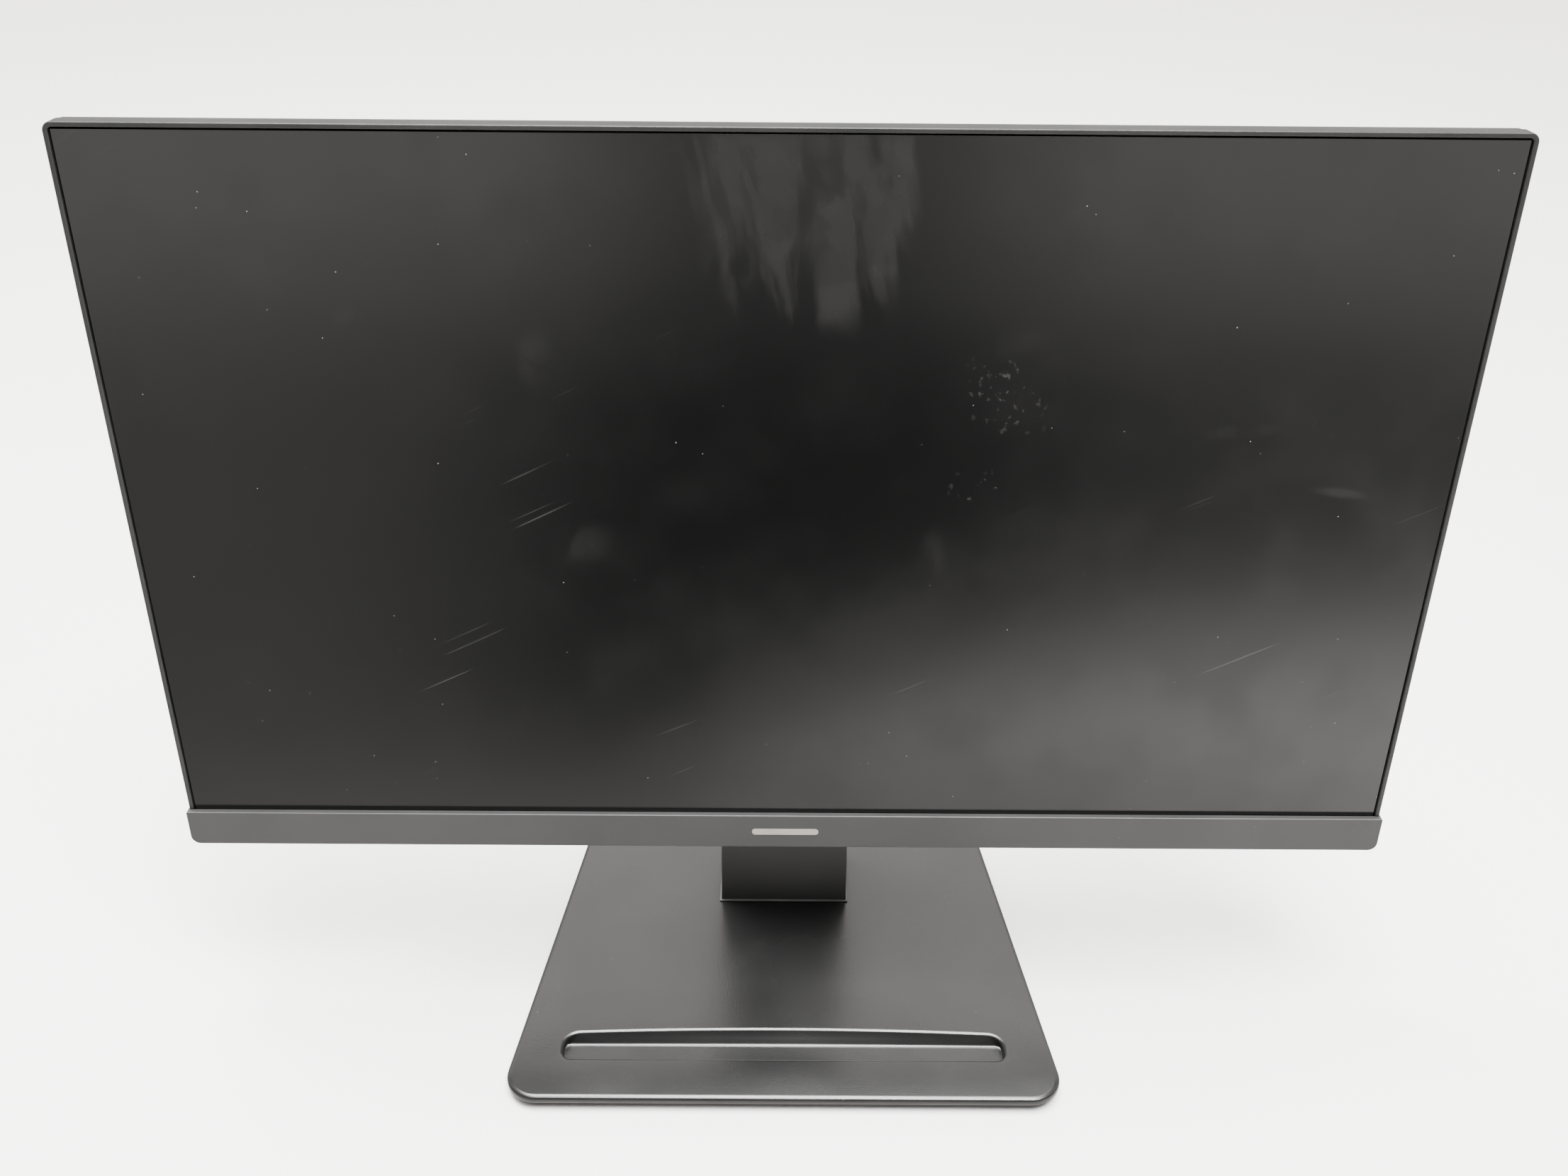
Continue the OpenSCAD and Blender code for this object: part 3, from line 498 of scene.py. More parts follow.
# %% Run a tree
def repeat(name, tree, inputs, matrix):
    """Runs a tree on an empty mesh, makes the result plain and puts it in its place."""
    obj = bpy.data.objects.new(name, bpy.data.meshes.new(name))
    scene.collection.objects.link(obj)
    modifier = obj.modifiers.new("repeat", "NODES")
    modifier.node_group = tree
    for item in tree.interface.items_tree:
        if item.in_out == "INPUT" and item.name in inputs:
            modifier[item.identifier] = inputs[item.name]
    plain_mesh(obj)
    obj.data.transform(matrix)
    return report(obj)


def frame_at(point, x_axis, y_axis, z_axis):
    """A matrix that takes local axes to given ones at a point."""
    return Matrix.Translation(point) @ Matrix((x_axis, y_axis, z_axis)).transposed().to_4x4()


# %% [markdown]
# ## Shared effects
# Many finishes share the same three effects: the fine grain of a moulding, with painted glints on
# some of its pebbles; edges that are lighter and smoother, partly from wear and partly as a painted
# highlight; and the dust that settles on it. Each is a node group with named inputs, built once and
# placed in every material with its own values. The groups read Object coordinates, so that a
# pattern stays on its part when the part moves.

# %% Group helpers
def new_group(name, inputs, outputs):
    tree = bpy.data.node_groups.new(name, "ShaderNodeTree")
    for label, value in inputs:
        socket = tree.interface.new_socket(label, in_out="INPUT", socket_type="NodeSocketFloat")
        socket.default_value = value
    for label in outputs:
        tree.interface.new_socket(label, in_out="OUTPUT", socket_type="NodeSocketFloat")
    return tree, tree.nodes.new("NodeGroupInput").outputs, tree.nodes.new("NodeGroupOutput").inputs


def calc(tree, operation, a, b=0.0, clamp=False):
    return add(tree, "Math", {0: a, 1: b}, operation=operation, use_clamp=clamp).outputs[0]


def spread(tree, value, low, high, to_low=0.0, to_high=1.0):
    """Maps a value's range to another, with soft ends."""
    return add(tree, "MapRange", {
        "Value": value, "From Min": low, "From Max": high, "To Min": to_low, "To Max": to_high,
    }, interpolation_type="SMOOTHSTEP").outputs[0]


def per_size(tree, size_mm):
    """Object coordinates counted in steps of a size that is given in millimetres."""
    steps = calc(tree, "DIVIDE", 1000.0, size_mm)
    coords = add(tree, "TexCoord").outputs["Object"]
    return add(tree, "VectorMath", {0: coords, "Scale": steps}, operation="SCALE").outputs[0]


# %% Moulded grain
grain_group, given, made = new_group(
    "moulded_grain", [("Grain size", 0.4), ("Patch size", 60.0)], ["Height", "Tone", "Painted glints"])
fine = per_size(grain_group, given["Grain size"])
pebbles = add(grain_group, "TexVoronoi", {"Vector": fine, "Scale": 1.0}, feature="SMOOTH_F1")
soft = add(grain_group, "TexNoise", {"Vector": fine, "Scale": 0.8, "Detail": 2.0})
relief = calc(grain_group, "SUBTRACT", soft.outputs[0], pebbles.outputs["Distance"])
grain_group.links.new(relief, made["Height"])
patches = per_size(grain_group, given["Patch size"])
broad = add(grain_group, "TexNoise", {"Vector": patches, "Scale": 1.0, "Detail": 3.0})
grain_group.links.new(spread(grain_group, broad.outputs[0], 0.3, 0.7), made["Tone"])
# Painted glints: a few pebbles of the grain are made bright, in place of light sparkling on a textured
# moulding.
glints = add(grain_group, "TexWhiteNoise", {"Vector": pebbles.outputs["Position"]})
grain_group.links.new(spread(grain_group, glints.outputs["Value"], 0.86, 1.0), made["Painted glints"])
print("moulded grain:", len(grain_group.nodes), "nodes")

# %% Edge wear and painted edge highlight
wear_and_highlight_group, given, made = new_group(
    "edge_wear_and_highlight", [("Start", 0.51), ("End", 0.58), ("Patch size", 14.0)], ["Mask"])
# This mask makes edges lighter: partly real wear, partly a painted highlight where rounded edges catch the
# lamp.
sharpness = add(wear_and_highlight_group, "NewGeometry").outputs["Pointiness"]
ridge = spread(wear_and_highlight_group, sharpness, given["Start"], given["End"])
patches = per_size(wear_and_highlight_group, given["Patch size"])
rubbed_and_lit = add(wear_and_highlight_group, "TexNoise", {"Vector": patches, "Scale": 1.0, "Detail": 4.0})
uneven_wear_and_highlight = spread(wear_and_highlight_group, rubbed_and_lit.outputs[0], 0.3, 0.62, 0.35, 1.0)
wear_and_highlight_group.links.new(calc(wear_and_highlight_group, "MULTIPLY", ridge, uneven_wear_and_highlight), made["Mask"])
print("edge wear:", len(wear_and_highlight_group.nodes), "nodes")

# %% Settled dust
dust_group, given, made = new_group(
    "settled_dust", [("Speck spacing", 9.0), ("Speck size", 0.045), ("Haze", 0.2)], ["Specks", "Haze"])
scattered = per_size(dust_group, given["Speck spacing"])
cells = add(dust_group, "TexVoronoi", {"Vector": scattered, "Scale": 1.0})
luck = add(dust_group, "TexWhiteNoise", {"Vector": cells.outputs["Position"]}).outputs["Value"]
reach = calc(dust_group, "MULTIPLY", calc(dust_group, "POWER", luck, 3.0), given["Speck size"])
near = calc(dust_group, "LESS_THAN", cells.outputs["Distance"], reach)
dust_group.links.new(near, made["Specks"])
cloud = add(dust_group, "TexNoise", {
    "Vector": per_size(dust_group, 35.0), "Scale": 1.0, "Detail": 2.0, "Roughness": 0.5})
thin_film = spread(dust_group, cloud.outputs[0], 0.35, 0.80)
dust_group.links.new(calc(dust_group, "MULTIPLY", thin_film, given["Haze"]), made["Haze"])
print("settled dust:", len(dust_group.nodes), "nodes")

# %% [markdown]
# ## Moulded and painted finishes
# Every plastic of the monitor has the same build: a base colour that shifts a little from patch to
# patch, edges that are lighter from wear and from a painted highlight, specks of dust, and a grain in
# the bump; the speckled plastics also get painted glints. What differs is how dark, how rough and how
# coarse, so one maker takes those as numbers.

# %% Maker of finishes
def blank(name):
    material = bpy.data.materials.new(name)
    material.use_nodes = True
    tree = material.node_tree
    return material, tree, tree.nodes["Principled BSDF"]


def place(tree, group, values=()):
    node = tree.nodes.new("ShaderNodeGroup")
    node.node_tree = group
    for key, value in dict(values).items():
        node.inputs[key].default_value = value
    return node.outputs


def blend(tree, share, first, second):
    mixer = tree.nodes.new("ShaderNodeMix")
    mixer.data_type = "RGBA"
    for socket, value in ((mixer.inputs[0], share), (mixer.inputs[6], first), (mixer.inputs[7], second)):
        if isinstance(value, bpy.types.NodeSocket):
            tree.links.new(value, socket)
        else:
            socket.default_value = value
    return mixer.outputs[2]


def shade(colour, factor):
    return tuple(min(1.0, c * factor) for c in colour[:3]) + (1.0,)


DUST = (0.34, 0.33, 0.31, 1.0)
HAZE_COVER, HAZE_DULLS, RUB_POLISHES, MOULDING_PATCH = 0.06, 0.12, 0.3, 60.0


def surface(name, colour, roughness, grain=0.4, depth=0.02, tone=0.2, wear_and_highlight=0.25, dust=0.2, painted_glints=0.0,
            metallic=0.0, specular=0.5, worn_and_highlight=None):
    """A finish from the three shared effects. Sizes are in millimetres."""
    material, tree, shader = blank(name)
    moulding = place(tree, grain_group, {"Grain size": grain, "Patch size": MOULDING_PATCH})
    edges = place(tree, wear_and_highlight_group)
    settled = place(tree, dust_group, {"Haze": dust})
    base = blend(tree, moulding["Tone"], shade(colour, 1 - tone), shade(colour, 1 + tone))
    # Lighter edges: real wear, and a painted highlight along the rounded edges.
    rub_and_highlight = calc(tree, "MULTIPLY", edges["Mask"], wear_and_highlight)
    base = blend(tree, rub_and_highlight, base, worn_and_highlight or shade(colour, 3.0))
    # Painted glints: the marked pebbles are lifted to five times the colour.
    if painted_glints:
        base = blend(tree, calc(tree, "MULTIPLY", moulding["Painted glints"], painted_glints), base, shade(colour, 5.0))
    specks = calc(tree, "MULTIPLY", settled["Specks"], dust)
    film = calc(tree, "ADD", specks, calc(tree, "MULTIPLY", settled["Haze"], HAZE_COVER))
    base = blend(tree, film, base, DUST)
    tree.links.new(base, shader.inputs["Base Color"])
    uneven = spread(tree, moulding["Tone"], 0.0, 1.0, roughness - 0.02, roughness + 0.02)
    dull = calc(tree, "ADD", uneven, calc(tree, "MULTIPLY", settled["Haze"], HAZE_DULLS))
    polish = calc(tree, "MULTIPLY", rub_and_highlight, RUB_POLISHES)
    tree.links.new(calc(tree, "SUBTRACT", dull, polish, True), shader.inputs["Roughness"])
    bump = add(tree, "Bump", {"Height": moulding["Height"], "Strength": 1.0, "Distance": depth * MM})
    tree.links.new(bump.outputs[0], shader.inputs["Normal"])
    shader.inputs["Metallic"].default_value = metallic
    shader.inputs["Specular IOR Level"].default_value = specular
    return material


# %% Plastics
finishes = {
    "housing_plastic": surface("bezel_satin", (0.024, 0.024, 0.024), 0.50, 0.30, 0.012, tone=0.05,
                               dust=0.15),
    "frame_plastic": surface("frame_speckle", (0.012, 0.012, 0.012), 0.42, 0.45, 0.045, wear_and_highlight=0.5, painted_glints=0.6,
                             dust=0.1, specular=0.25),
    "rear_plastic": surface("rear_texture", (0.015, 0.015, 0.0155), 0.60, 0.70, 0.040, tone=0.06, dust=0.2,
                            specular=0.4),
    "neck_plastic": surface("neck_matte", (0.055, 0.055, 0.054), 0.50, 0.40, 0.020, tone=0.06, dust=0.2),
    "base_plastic": surface("base_speckle", (0.006, 0.006, 0.006), 0.26, 0.45, 0.026, tone=0.05, wear_and_highlight=0.5,
                            painted_glints=0.6, dust=0.08),
    "badge_print": surface("mark_print", (0.20, 0.185, 0.165), 0.40, 0.25, 0.004, tone=0.06, wear_and_highlight=0.1),
    "black_plastic": surface("inner_plastic", (0.016, 0.016, 0.016), 0.45, 0.50, 0.020),
    "stick_rubber": surface("stick_rubber", (0.020, 0.020, 0.021), 0.70, 0.25, 0.015, tone=0.15, dust=0.35),
    "foot_rubber": surface("foot_rubber", (0.022, 0.021, 0.020), 0.80, 0.35, 0.030, dust=0.5),
    "white_film": surface("white_film", (0.80, 0.80, 0.78), 0.35, 0.30, 0.004, tone=0.03, wear_and_highlight=0.0,
                          dust=0.1),
    "cable_film": surface("cable_film", (0.62, 0.61, 0.58), 0.40, 0.60, 0.010, tone=0.08, wear_and_highlight=0.1),
    "flex_film": surface("flex_film", (0.42, 0.19, 0.045), 0.28, 0.60, 0.006, tone=0.15, wear_and_highlight=0.1),
    "socket_blue": surface("socket_blue", (0.030, 0.080, 0.32), 0.38, 0.30, 0.008, tone=0.08),
}
print(len(finishes), "plastics and films")

# %% [markdown]
# ## Metals, boards and clear parts
# Sheet steel shows a rolling direction, so its grain is drawn out along one axis. A circuit board
# is a lacquered green with faint tracks, and the acrylic plate only needs a little tint.

# %% Metals
def sheet_metal(name, colour, roughness, drawn=(1.0, 0.04, 0.04), depth=0.004, tone=0.12):
    material, tree, shader = blank(name)
    coords = add(tree, "TexCoord").outputs["Object"]
    turned_to_grain = add(tree, "Mapping", {"Vector": coords, "Scale": tuple(2600 * d for d in drawn)})
    brushed = add(tree, "TexNoise", {"Vector": turned_to_grain.outputs[0], "Scale": 1.0, "Detail": 4.0})
    moulding = place(tree, grain_group, {"Grain size": 1.2, "Patch size": 30.0})
    edges = place(tree, wear_and_highlight_group)
    settled = place(tree, dust_group, {"Haze": 0.15})
    base = blend(tree, moulding["Tone"], shade(colour, 1 - tone), shade(colour, 1 + tone))
    # Lighter edges on the metal: wear, and a painted highlight.
    base = blend(tree, calc(tree, "MULTIPLY", edges["Mask"], 0.4), base, shade(colour, 1.5))
    base = blend(tree, calc(tree, "MULTIPLY", settled["Haze"], 0.5), base, DUST)
    tree.links.new(base, shader.inputs["Base Color"])
    tree.links.new(spread(tree, brushed.outputs[0], 0.3, 0.7, roughness - 0.08, roughness + 0.08),
                   shader.inputs["Roughness"])
    bump = add(tree, "Bump", {"Height": brushed.outputs[0], "Strength": 1.0, "Distance": depth * MM})
    tree.links.new(bump.outputs[0], shader.inputs["Normal"])
    shader.inputs["Metallic"].default_value = 1.0
    return material


finishes.update({
    "bare_steel": sheet_metal("zinc_sheet", (0.52, 0.53, 0.55), 0.40, (0.05, 1.0, 1.0)),
    "black_steel": surface("black_coated_steel", (0.020, 0.020, 0.022), 0.38, 0.50, 0.020, wear_and_highlight=0.5,
                           worn_and_highlight=(0.25, 0.25, 0.26, 1.0)),
    "black_screw": surface("black_screw", (0.035, 0.035, 0.036), 0.35, 0.30, 0.006, wear_and_highlight=0.6, metallic=0.8,
                           worn_and_highlight=(0.30, 0.30, 0.31, 1.0)),
    "socket_metal": sheet_metal("tinned_shell", (0.62, 0.61, 0.58), 0.30, (1.0, 1.0, 0.08), 0.002),
    "washer_brass": sheet_metal("washer_brass", (0.48, 0.36, 0.17), 0.36, (0.6, 0.6, 0.6), 0.003),
})


# %% Circuit board and clear parts
def board_lacquer():
    material, tree, shader = blank("board_lacquer")
    tracks = add(tree, "TexBrick", {
        "Vector": per_size(tree, 3.2), "Scale": 1.0, "Mortar Size": 0.05, "Color1": (0.008, 0.060, 0.022, 1),
        "Color2": (0.006, 0.048, 0.018, 1), "Mortar": (0.016, 0.105, 0.040, 1)})
    settled = place(tree, dust_group, {"Haze": 0.15})
    tree.links.new(blend(tree, settled["Haze"], tracks.outputs["Color"], DUST), shader.inputs["Base Color"])
    tree.links.new(spread(tree, tracks.outputs["Fac"], 0.0, 1.0, 0.28, 0.40), shader.inputs["Roughness"])
    bump = add(tree, "Bump", {"Height": tracks.outputs["Fac"], "Strength": 0.6, "Distance": 0.03 * MM})
    tree.links.new(bump.outputs[0], shader.inputs["Normal"])
    return material


def clear_plastic(name, tint, roughness, milky):
    """A pressed clear part: slightly uneven in tint, and frosted where it has been handled."""
    material, tree, shader = blank(name)
    moulding = place(tree, grain_group, {"Grain size": 2.0, "Patch size": 20.0})
    tinted = blend(tree, moulding["Tone"], shade(tint, 0.92), shade(tint, 1.0))
    tree.links.new(tinted, shader.inputs["Base Color"])
    frosted = spread(tree, moulding["Tone"], 0.0, 1.0, roughness, roughness + 0.12)
    tree.links.new(frosted, shader.inputs["Roughness"])
    shader.inputs["Transmission Weight"].default_value = 1.0 - milky
    shader.inputs["IOR"].default_value = 1.49
    return material


finishes.update({
    "circuit_board": board_lacquer(),
    "acrylic": clear_plastic("guide_acrylic", (0.86, 0.92, 0.95), 0.08, 0.4),
    "clear_plastic": clear_plastic("indicator_clear", (0.92, 0.92, 0.90), 0.15, 0.5),
    "lamp_strip": surface("lamp_strip", (0.70, 0.66, 0.42), 0.35, 0.40, 0.006, tone=0.06, wear_and_highlight=0.1),
})
print(len(finishes), "finishes so far")

# %% [markdown]
# ## Screen
# A switched-off panel is nearly black. Its anti-glare film scatters what it mirrors, so the room is
# only a soft glow in it, and that glow comes from the shader and the sky. What the material paints
# is on the film itself: the greasy strokes where hands have wiped the top middle, a few touch
# marks, hairline scratches, a scuff and specks of dust. Each is a mask, and all of them only lift
# the film's own dark colour a little, because grease is thin. Strokes and scratches are one noise
# that is stretched along their direction; an oval mask keeps the strokes in their place.

# %% Screen: marks on the film
def drawn_out(tree, coords, lean, along_x, along_z, along_y=1.0):
    """Coordinates that are turned in the screen's plane and then stretched by unequal scales."""
    angle = math.radians(lean)
    turned = add(tree, "VectorRotate", {"Vector": coords, "Angle": angle}, rotation_type="Y_AXIS")
    scales = (along_x, along_y, along_z)
    return add(tree, "VectorMath", {0: turned.outputs[0], 1: scales}, operation="MULTIPLY").outputs[0]


def mark(tree, coords, x, z, half_width, half_height, lean=0.0):
    """A soft oval on the screen, given in head space; 1 at its middle and 0 outside."""
    centre = in_head(x, 3.0, z)
    moved = add(tree, "VectorMath", {0: coords, 1: tuple(centre)}, operation="SUBTRACT").outputs[0]
    squeezed = drawn_out(tree, moved, lean, 1000 / half_width, 1000 / half_height, 0.0)
    distance = add(tree, "VectorMath", {0: squeezed}, operation="LENGTH").outputs["Value"]
    return spread(tree, distance, 0.25, 1.0, 1.0, 0.0)


# Touch marks in head space: x, z, half width, half height, lean and strength.
TOUCHES = (
    (-98, 232, 10, 17, 0, 0.35), (-206, 266, 16, 22, 30, 0.16), (-168, 246, 8, 12, 20, 0.22),
    (-84, 152, 16, 14, 0, 0.30), (84, 240, 22, 8, 12, 0.18), (176, 204, 22, 4, 4, 0.45),
    (222, 178, 16, 3, -8, 0.40), (60, 150, 7, 16, 0, 0.16),
)
WIPED_AREA = (6, 306, 62, 78)
SCUFFED_AREAS = ((84, 218, 20, 26, 35), (76, 178, 16, 12, 0))


def greasy_haze(tree, coords):
    """Wiped strokes at the top middle and touch marks, as one mask."""
    stretched = drawn_out(tree, coords, 8, 62, 17)
    strokes = add(tree, "TexNoise", {
        "Vector": stretched, "Scale": 1.0, "Detail": 4.0, "Roughness": 0.55, "Distortion": 0.5})
    swirl = add(tree, "TexNoise", {
        "Vector": per_size(tree, 22.0), "Scale": 1.0, "Detail": 5.0, "Distortion": 0.8}).outputs[0]
    ragged = spread(tree, strokes.outputs[0], 0.30, 0.70, -0.55, 0.55)
    wiped = mark(tree, coords, *WIPED_AREA)
    hands = spread(tree, calc(tree, "ADD", wiped, ragged), 0.15, 0.95)
    hands = calc(tree, "MULTIPLY", hands, spread(tree, wiped, 0.0, 0.35))
    grease = calc(tree, "MULTIPLY", hands, spread(tree, swirl, 0.25, 0.75, 0.60, 1.0))
    touches = 0.0
    for *oval, strength in TOUCHES:
        touch = calc(tree, "MULTIPLY", mark(tree, coords, *oval), strength)
        touches = calc(tree, "MAXIMUM", touch, touches)
    touches = calc(tree, "MULTIPLY", touches, spread(tree, swirl, 0.38, 0.62))
    faint = calc(tree, "MULTIPLY", spread(tree, swirl, 0.55, 0.85), 0.06)
    return calc(tree, "ADD", calc(tree, "MAXIMUM", grease, touches), faint, True)


def hairlines(tree, coords):
    """Slanting scratches in some regions, and crumbs of a scuff."""
    slanting = drawn_out(tree, coords, 26, 13, 560)
    hair = add(tree, "TexNoise", {"Vector": slanting, "Scale": 1.0, "Detail": 1.0})
    region = add(tree, "TexNoise", {"Vector": per_size(tree, 70.0), "Scale": 1.0, "Detail": 1.0})
    lines, where = spread(tree, hair.outputs[0], 0.70, 0.76), spread(tree, region.outputs[0], 0.54, 0.68)
    crumbs = add(tree, "TexNoise", {"Vector": per_size(tree, 2.6), "Scale": 1.0, "Detail": 3.0})
    first, second = (mark(tree, coords, *oval) for oval in SCUFFED_AREAS)
    rubbed_and_lit = calc(tree, "MAXIMUM", first, second)
    scuff = calc(tree, "MULTIPLY", spread(tree, crumbs.outputs[0], 0.60, 0.70), rubbed_and_lit)
    return calc(tree, "MAXIMUM", calc(tree, "MULTIPLY", lines, where), scuff)


# %% Screen: the film itself
FILM, GREASE = (0.0010, 0.0010, 0.0011, 1), (0.42, 0.42, 0.41, 1)
SCRATCH, SPECK = (0.5, 0.5, 0.49, 1), (0.75, 0.74, 0.72, 1)
GREASE_COVER, SCRATCH_COVER, SPECK_COVER = 0.015, 0.035, 0.35
FILM_ROUGHNESS, GREASE_DULLS, DUST_DULLS = 0.17, 0.12, 0.08


def screen_film():
    material, tree, shader = blank("screen_film")
    coords = add(tree, "TexCoord").outputs["Object"]
    haze = greasy_haze(tree, coords)
    settled = place(tree, dust_group, {"Speck spacing": 5.0, "Speck size": 0.045, "Haze": 0.5})
    film = FILM
    for mask, cover, colour in (
        (haze, GREASE_COVER, GREASE), (hairlines(tree, coords), SCRATCH_COVER, SCRATCH),
        (settled["Specks"], SPECK_COVER, SPECK),
    ):
        film = blend(tree, calc(tree, "MULTIPLY", mask, cover), film, colour)
    tree.links.new(film, shader.inputs["Base Color"])
    rough = calc(tree, "ADD", calc(tree, "MULTIPLY", haze, GREASE_DULLS), FILM_ROUGHNESS)
    rough = calc(tree, "ADD", rough, calc(tree, "MULTIPLY", settled["Haze"], DUST_DULLS), True)
    tree.links.new(rough, shader.inputs["Roughness"])
    etching = place(tree, grain_group, {"Grain size": 0.12, "Patch size": 200.0})
    bump = add(tree, "Bump", {"Height": etching["Height"], "Strength": 0.25, "Distance": 0.003 * MM})
    tree.links.new(bump.outputs[0], shader.inputs["Normal"])
    shader.inputs["Specular IOR Level"].default_value = 0.5
    return material


finishes["screen_glass"] = screen_film()
print("screen film:", len(finishes["screen_glass"].node_tree.nodes), "nodes")

# %% [markdown]
# ## Details from the two trees
# The rubber cap and the hand screw get grip ribs, and the main board its rows of small parts, which
# show through the vents at the back. The loop below runs one tree three times with other inputs.

# %% Repeated details
upwards = Vector((0, 0, 1))
cap_ribs = repeat("stick_cap_ribs", ribs, {
    "Count": 28, "Radius": 4.0 * MM, "Rib size": (0.36 * MM, 0.34 * MM, 2.9 * MM),
    "Material": finishes["stick_rubber"],
}, frame_at(in_head(STICK_X, 19.4, STICK_Z), right, -up, back))
screw_ribs = repeat("hand_screw_ribs", ribs, {
    "Count": 36, "Radius": 7.9 * MM, "Rib size": (0.36 * MM, 0.5 * MM, 1.5 * MM),
    "Material": finishes["bare_steel"],
}, frame_at(Vector((screw_x, screw_y, 3.25 * MM)), right, Vector((0, 1, 0)), upwards))
print("ribs stay inside", round(stick_high.x, 4), "and", round(screw_high.x, 4))
BOARD_Y = 17.6
board_parts = []
for name, x, z, columns, count, width, depth, part_size, is_round, seed in (
    ("board_chips_left", -50, 76, 6, 5, 15, 14, (1.7, 0.9, 0.7), False, 4),
    ("board_chips_right", 50, 80, 6, 3, 16, 7, (1.7, 0.9, 0.7), False, 9),
    ("board_coils", 96, 70, 2, 3, 9, 18, (3.6, 3.6, 2.4), True, 2),
):
    board_parts.append(repeat(name, rows, {
        "Columns": columns, "Rows": count, "Width": width * MM, "Depth": depth * MM,
        "Part size": tuple(s * MM for s in part_size), "Round": is_round, "Uneven": 0.35, "Missing": 0.2,
        "Seed": seed, "Material": finishes["black_plastic"],
    }, frame_at(in_head(x, BOARD_Y + part_size[2] / 2 - 0.02, z), right, -up, back)))
print(len(board_parts), "groups of board parts")

# %% [markdown]
# ## Finishes on the parts
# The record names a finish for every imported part, so each part takes its material by that name.
# A piece that was built or softened here takes the finish of the part it stands for.

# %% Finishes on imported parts
slot_of = {sub["node"]: sub["material_slot"] for sub in record["subparts"]}
for node, obj in nodes.items():
    for place_in_object in obj.material_slots:
        place_in_object.material = finishes[slot_of[node]]
print(len(slot_of), "parts painted with", len(set(slot_of.values())), "finishes")

# %% Pieces: what they stand for, their body and their finish
for piece, node, body in (
    (base_shell, "base_cover", "stand"), (neck_front, "neck_front_cover", "stand"),
    (neck_rear, "neck_rear_cover", "stand"), (bezel, "chin_bar", "head"),
    (screen_frame, "front_frame", "head"), (glass, "lcd_cell", "head"), (rear_shell, "rear_cover", "head"),
    (hinge_bracket, "hinge_plate", "head"), (stick_cap, "nav_cap", "nav_cap"),
    (wire_loop, "screw_bail", "screw_bail"),
):
    piece.data.materials.clear()
    piece.data.materials.append(finishes[slot_of[node]])
    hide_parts(node)
    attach(piece, body)

for piece, body, slot in (
    (cap_ribs, "nav_cap", "stick_rubber"), (screw_ribs, "base_screw", "bare_steel"),
    *((piece, "head", "black_plastic") for piece in board_parts),
):
    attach(piece, body)

# %% [markdown]
# ## Floor and light
# The monitor stands on a pale floor in a bright, plain room. A large soft lamp overhead draws the
# bright lines along the rounded edges, and a weaker one in front fills the shadows. The sky gives
# the rest, and each part of it is placed where one surface looks. The base's top mirrors the wall
# behind, so the sky is bright there. The leaning screen and the lower bezel mirror what is below
# the horizon in front: a bright bench at the bottom, a glow to the right of the middle, a paler
# band towards the horizon and darkness between them. The sky could be an even grey instead, but a
# dark glossy film then loses all its shape.

# %% Floor
def sheet(name, half, z):
    mesh = bpy.data.meshes.new(name)
    corners = [(-half, -half, z), (half, -half, z), (half, half, z), (-half, half, z)]
    mesh.from_pydata(corners, [], [(0, 1, 2, 3)])
    obj = bpy.data.objects.new(name, mesh)
    scene.collection.objects.link(obj)
    return obj


floor = sheet("floor", 8.0, 0.0)
material, tree, shader = blank("pale_floor")
clouds = add(tree, "TexNoise", {"Vector": per_size(tree, 400.0), "Scale": 1.0, "Detail": 2.0})
pale = blend(tree, clouds.outputs[0], (0.80, 0.79, 0.78, 1), (0.84, 0.83, 0.82, 1))
tree.links.new(pale, shader.inputs["Base Color"])
shader.inputs["Roughness"].default_value = 0.45
floor.data.materials.append(material)
floor.visible_glossy = False


# %% Lamps
def soft_lamp(name, place_at, target, energy, size_x, size_y):
    lamp = bpy.data.lights.new(name, "AREA")
    lamp.shape, lamp.size, lamp.size_y, lamp.energy = "RECTANGLE", size_x, size_y, energy
    obj = bpy.data.objects.new(name, lamp)
    obj.location = place_at
    obj.rotation_euler = (Vector(target) - Vector(place_at)).to_track_quat("-Z", "Y").to_euler()
    scene.collection.objects.link(obj)
    return obj


soft_lamp("overhead", (-0.1, -0.1, 2.3), (0.0, 0.0, 0.1), 300, 2.4, 0.9)
soft_lamp("front", (0.3, -1.1, 2.5), (0.0, 0.0, 0.1), 60, 1.8, 0.7)

# %% Sky: directions
world = bpy.data.worlds.new("studio")
scene.world = world
world.use_nodes = True
sky = world.node_tree
direction = add(sky, "TexCoord").outputs["Generated"]
parts = add(sky, "SeparateXYZ", {0: direction})
across, depth, height = (parts.outputs[axis] for axis in "XYZ")
drop = calc(sky, "MULTIPLY", height, -1.0)

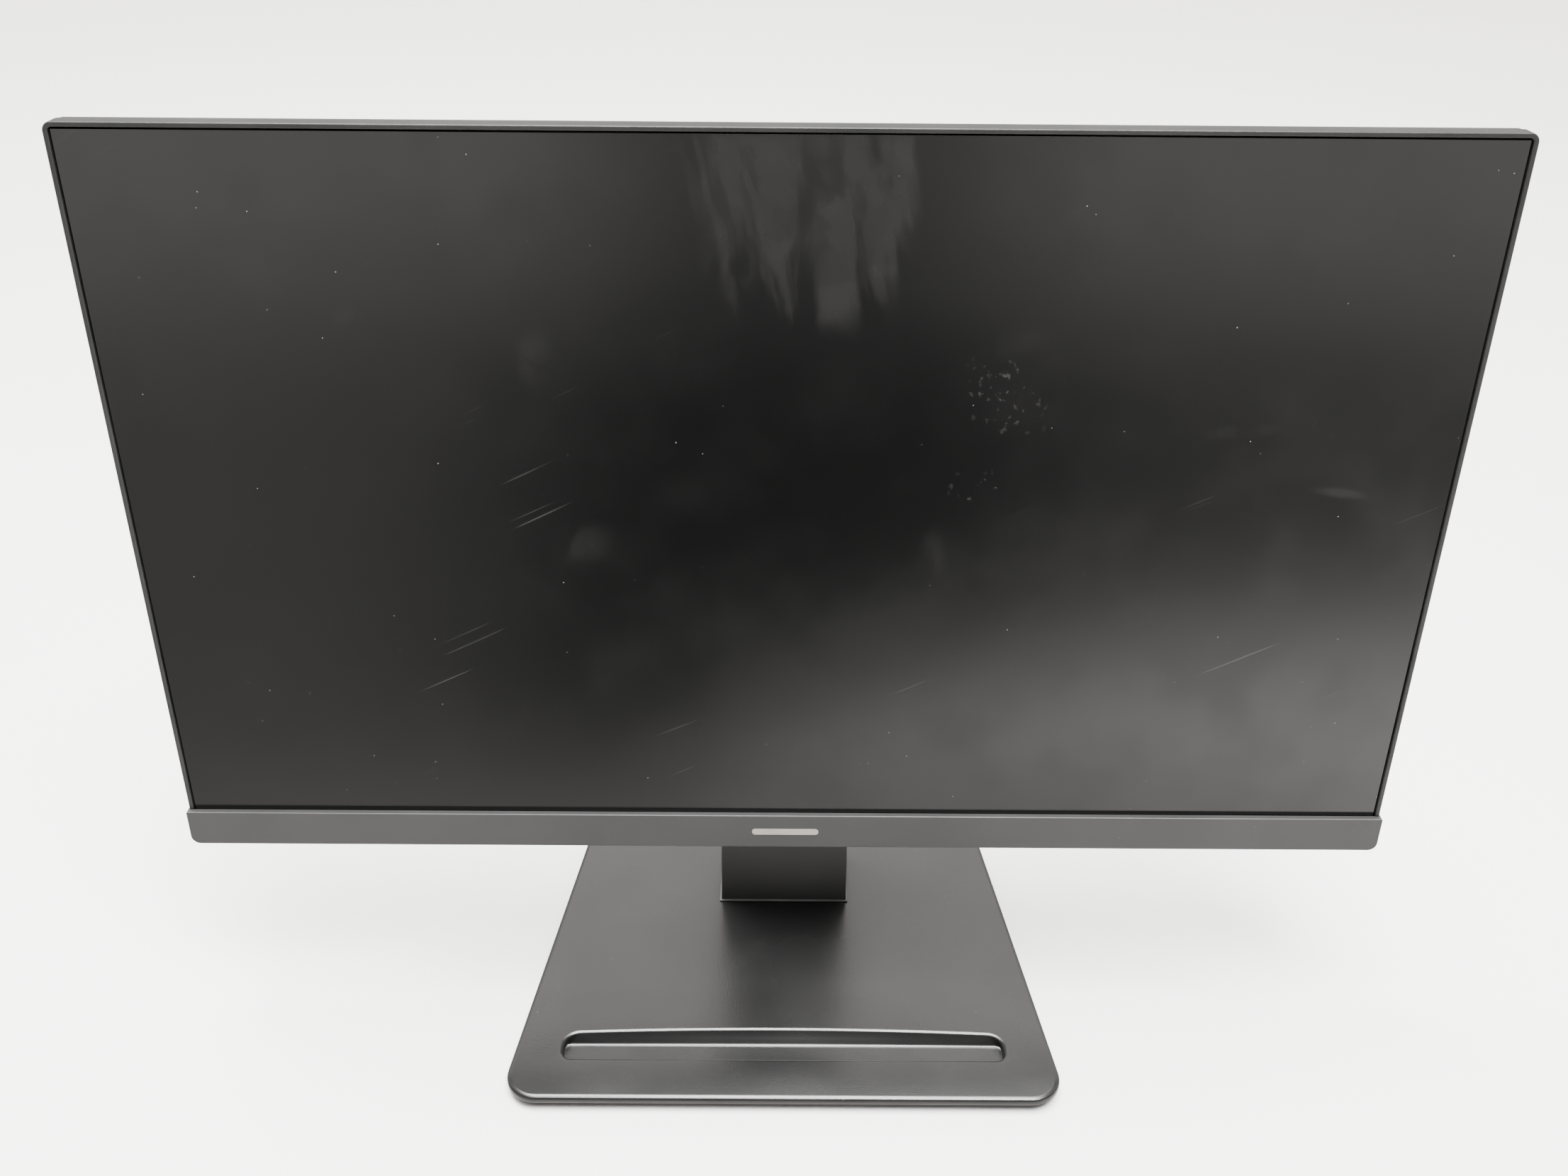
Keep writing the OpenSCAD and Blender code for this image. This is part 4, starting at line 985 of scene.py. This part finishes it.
# %% Sky: above the horizon
FRONT_WALL, BACK_WALL, WALL_FOOT, CEILING = 0.35, 3.4, 0.15, 15.0
wall_side = spread(sky, depth, -0.05, 0.50, FRONT_WALL, BACK_WALL)
wall_side = calc(sky, "MULTIPLY", wall_side, spread(sky, height, 0.15, 0.60, WALL_FOOT, 1.0))
lights = calc(sky, "MULTIPLY", spread(sky, height, 0.90, 0.97), CEILING)
above = calc(sky, "MULTIPLY", spread(sky, height, -0.02, 0.05), calc(sky, "ADD", wall_side, lights))

# %% Sky: what the screen and the bezel mirror
BENCH, GLOW, GLOW_RISES, LEFT_SIDE, RIGHT_SIDE, DARKEST = 1.95, 4.6, 0.23, 0.85, 0.35, 0.08
PALE_MIDDLE, PALE_ENDS, MIDDLE = 0.75, 2.2, 0.015
beside = calc(sky, "ABSOLUTE", calc(sky, "SUBTRACT", across, MIDDLE))
top_band = calc(sky, "MULTIPLY", spread(sky, drop, 0.30, 0.14),
                spread(sky, beside, 0.05, 0.19, PALE_MIDDLE, PALE_ENDS))
left_side = calc(sky, "MULTIPLY", spread(sky, across, -0.06, -0.30), LEFT_SIDE)
right_side = calc(sky, "MULTIPLY", spread(sky, across, 0.10, 0.24), RIGHT_SIDE)
rising = calc(sky, "ADD", drop, calc(sky, "MULTIPLY", across, GLOW_RISES))
glow = calc(sky, "MULTIPLY", spread(sky, rising, 0.450, 0.500), spread(sky, across, -0.09, -0.01, 0.0, GLOW))
sides = calc(sky, "ADD", left_side, right_side)
room = calc(sky, "ADD", calc(sky, "MAXIMUM", top_band, sides), glow)
bench = spread(sky, drop, 0.480, 0.530)
below = calc(sky, "ADD", calc(sky, "MULTIPLY", bench, BENCH),
             calc(sky, "MULTIPLY", calc(sky, "SUBTRACT", 1.0, bench), room))
below = calc(sky, "MULTIPLY", spread(sky, height, 0.02, -0.02), calc(sky, "ADD", below, DARKEST))

# %% Sky: strength, with an even backdrop for the camera
BACKDROP = 3.0
back_node = sky.nodes["Background"]
back_node.inputs["Color"].default_value = (1.0, 0.972, 0.94, 1.0)
seen = add(sky, "LightPath").outputs["Is Camera Ray"]
strength = add(sky, "Mix", {0: seen, 2: calc(sky, "ADD", above, below), 3: BACKDROP}).outputs[0]
sky.links.new(strength, back_node.inputs["Strength"])
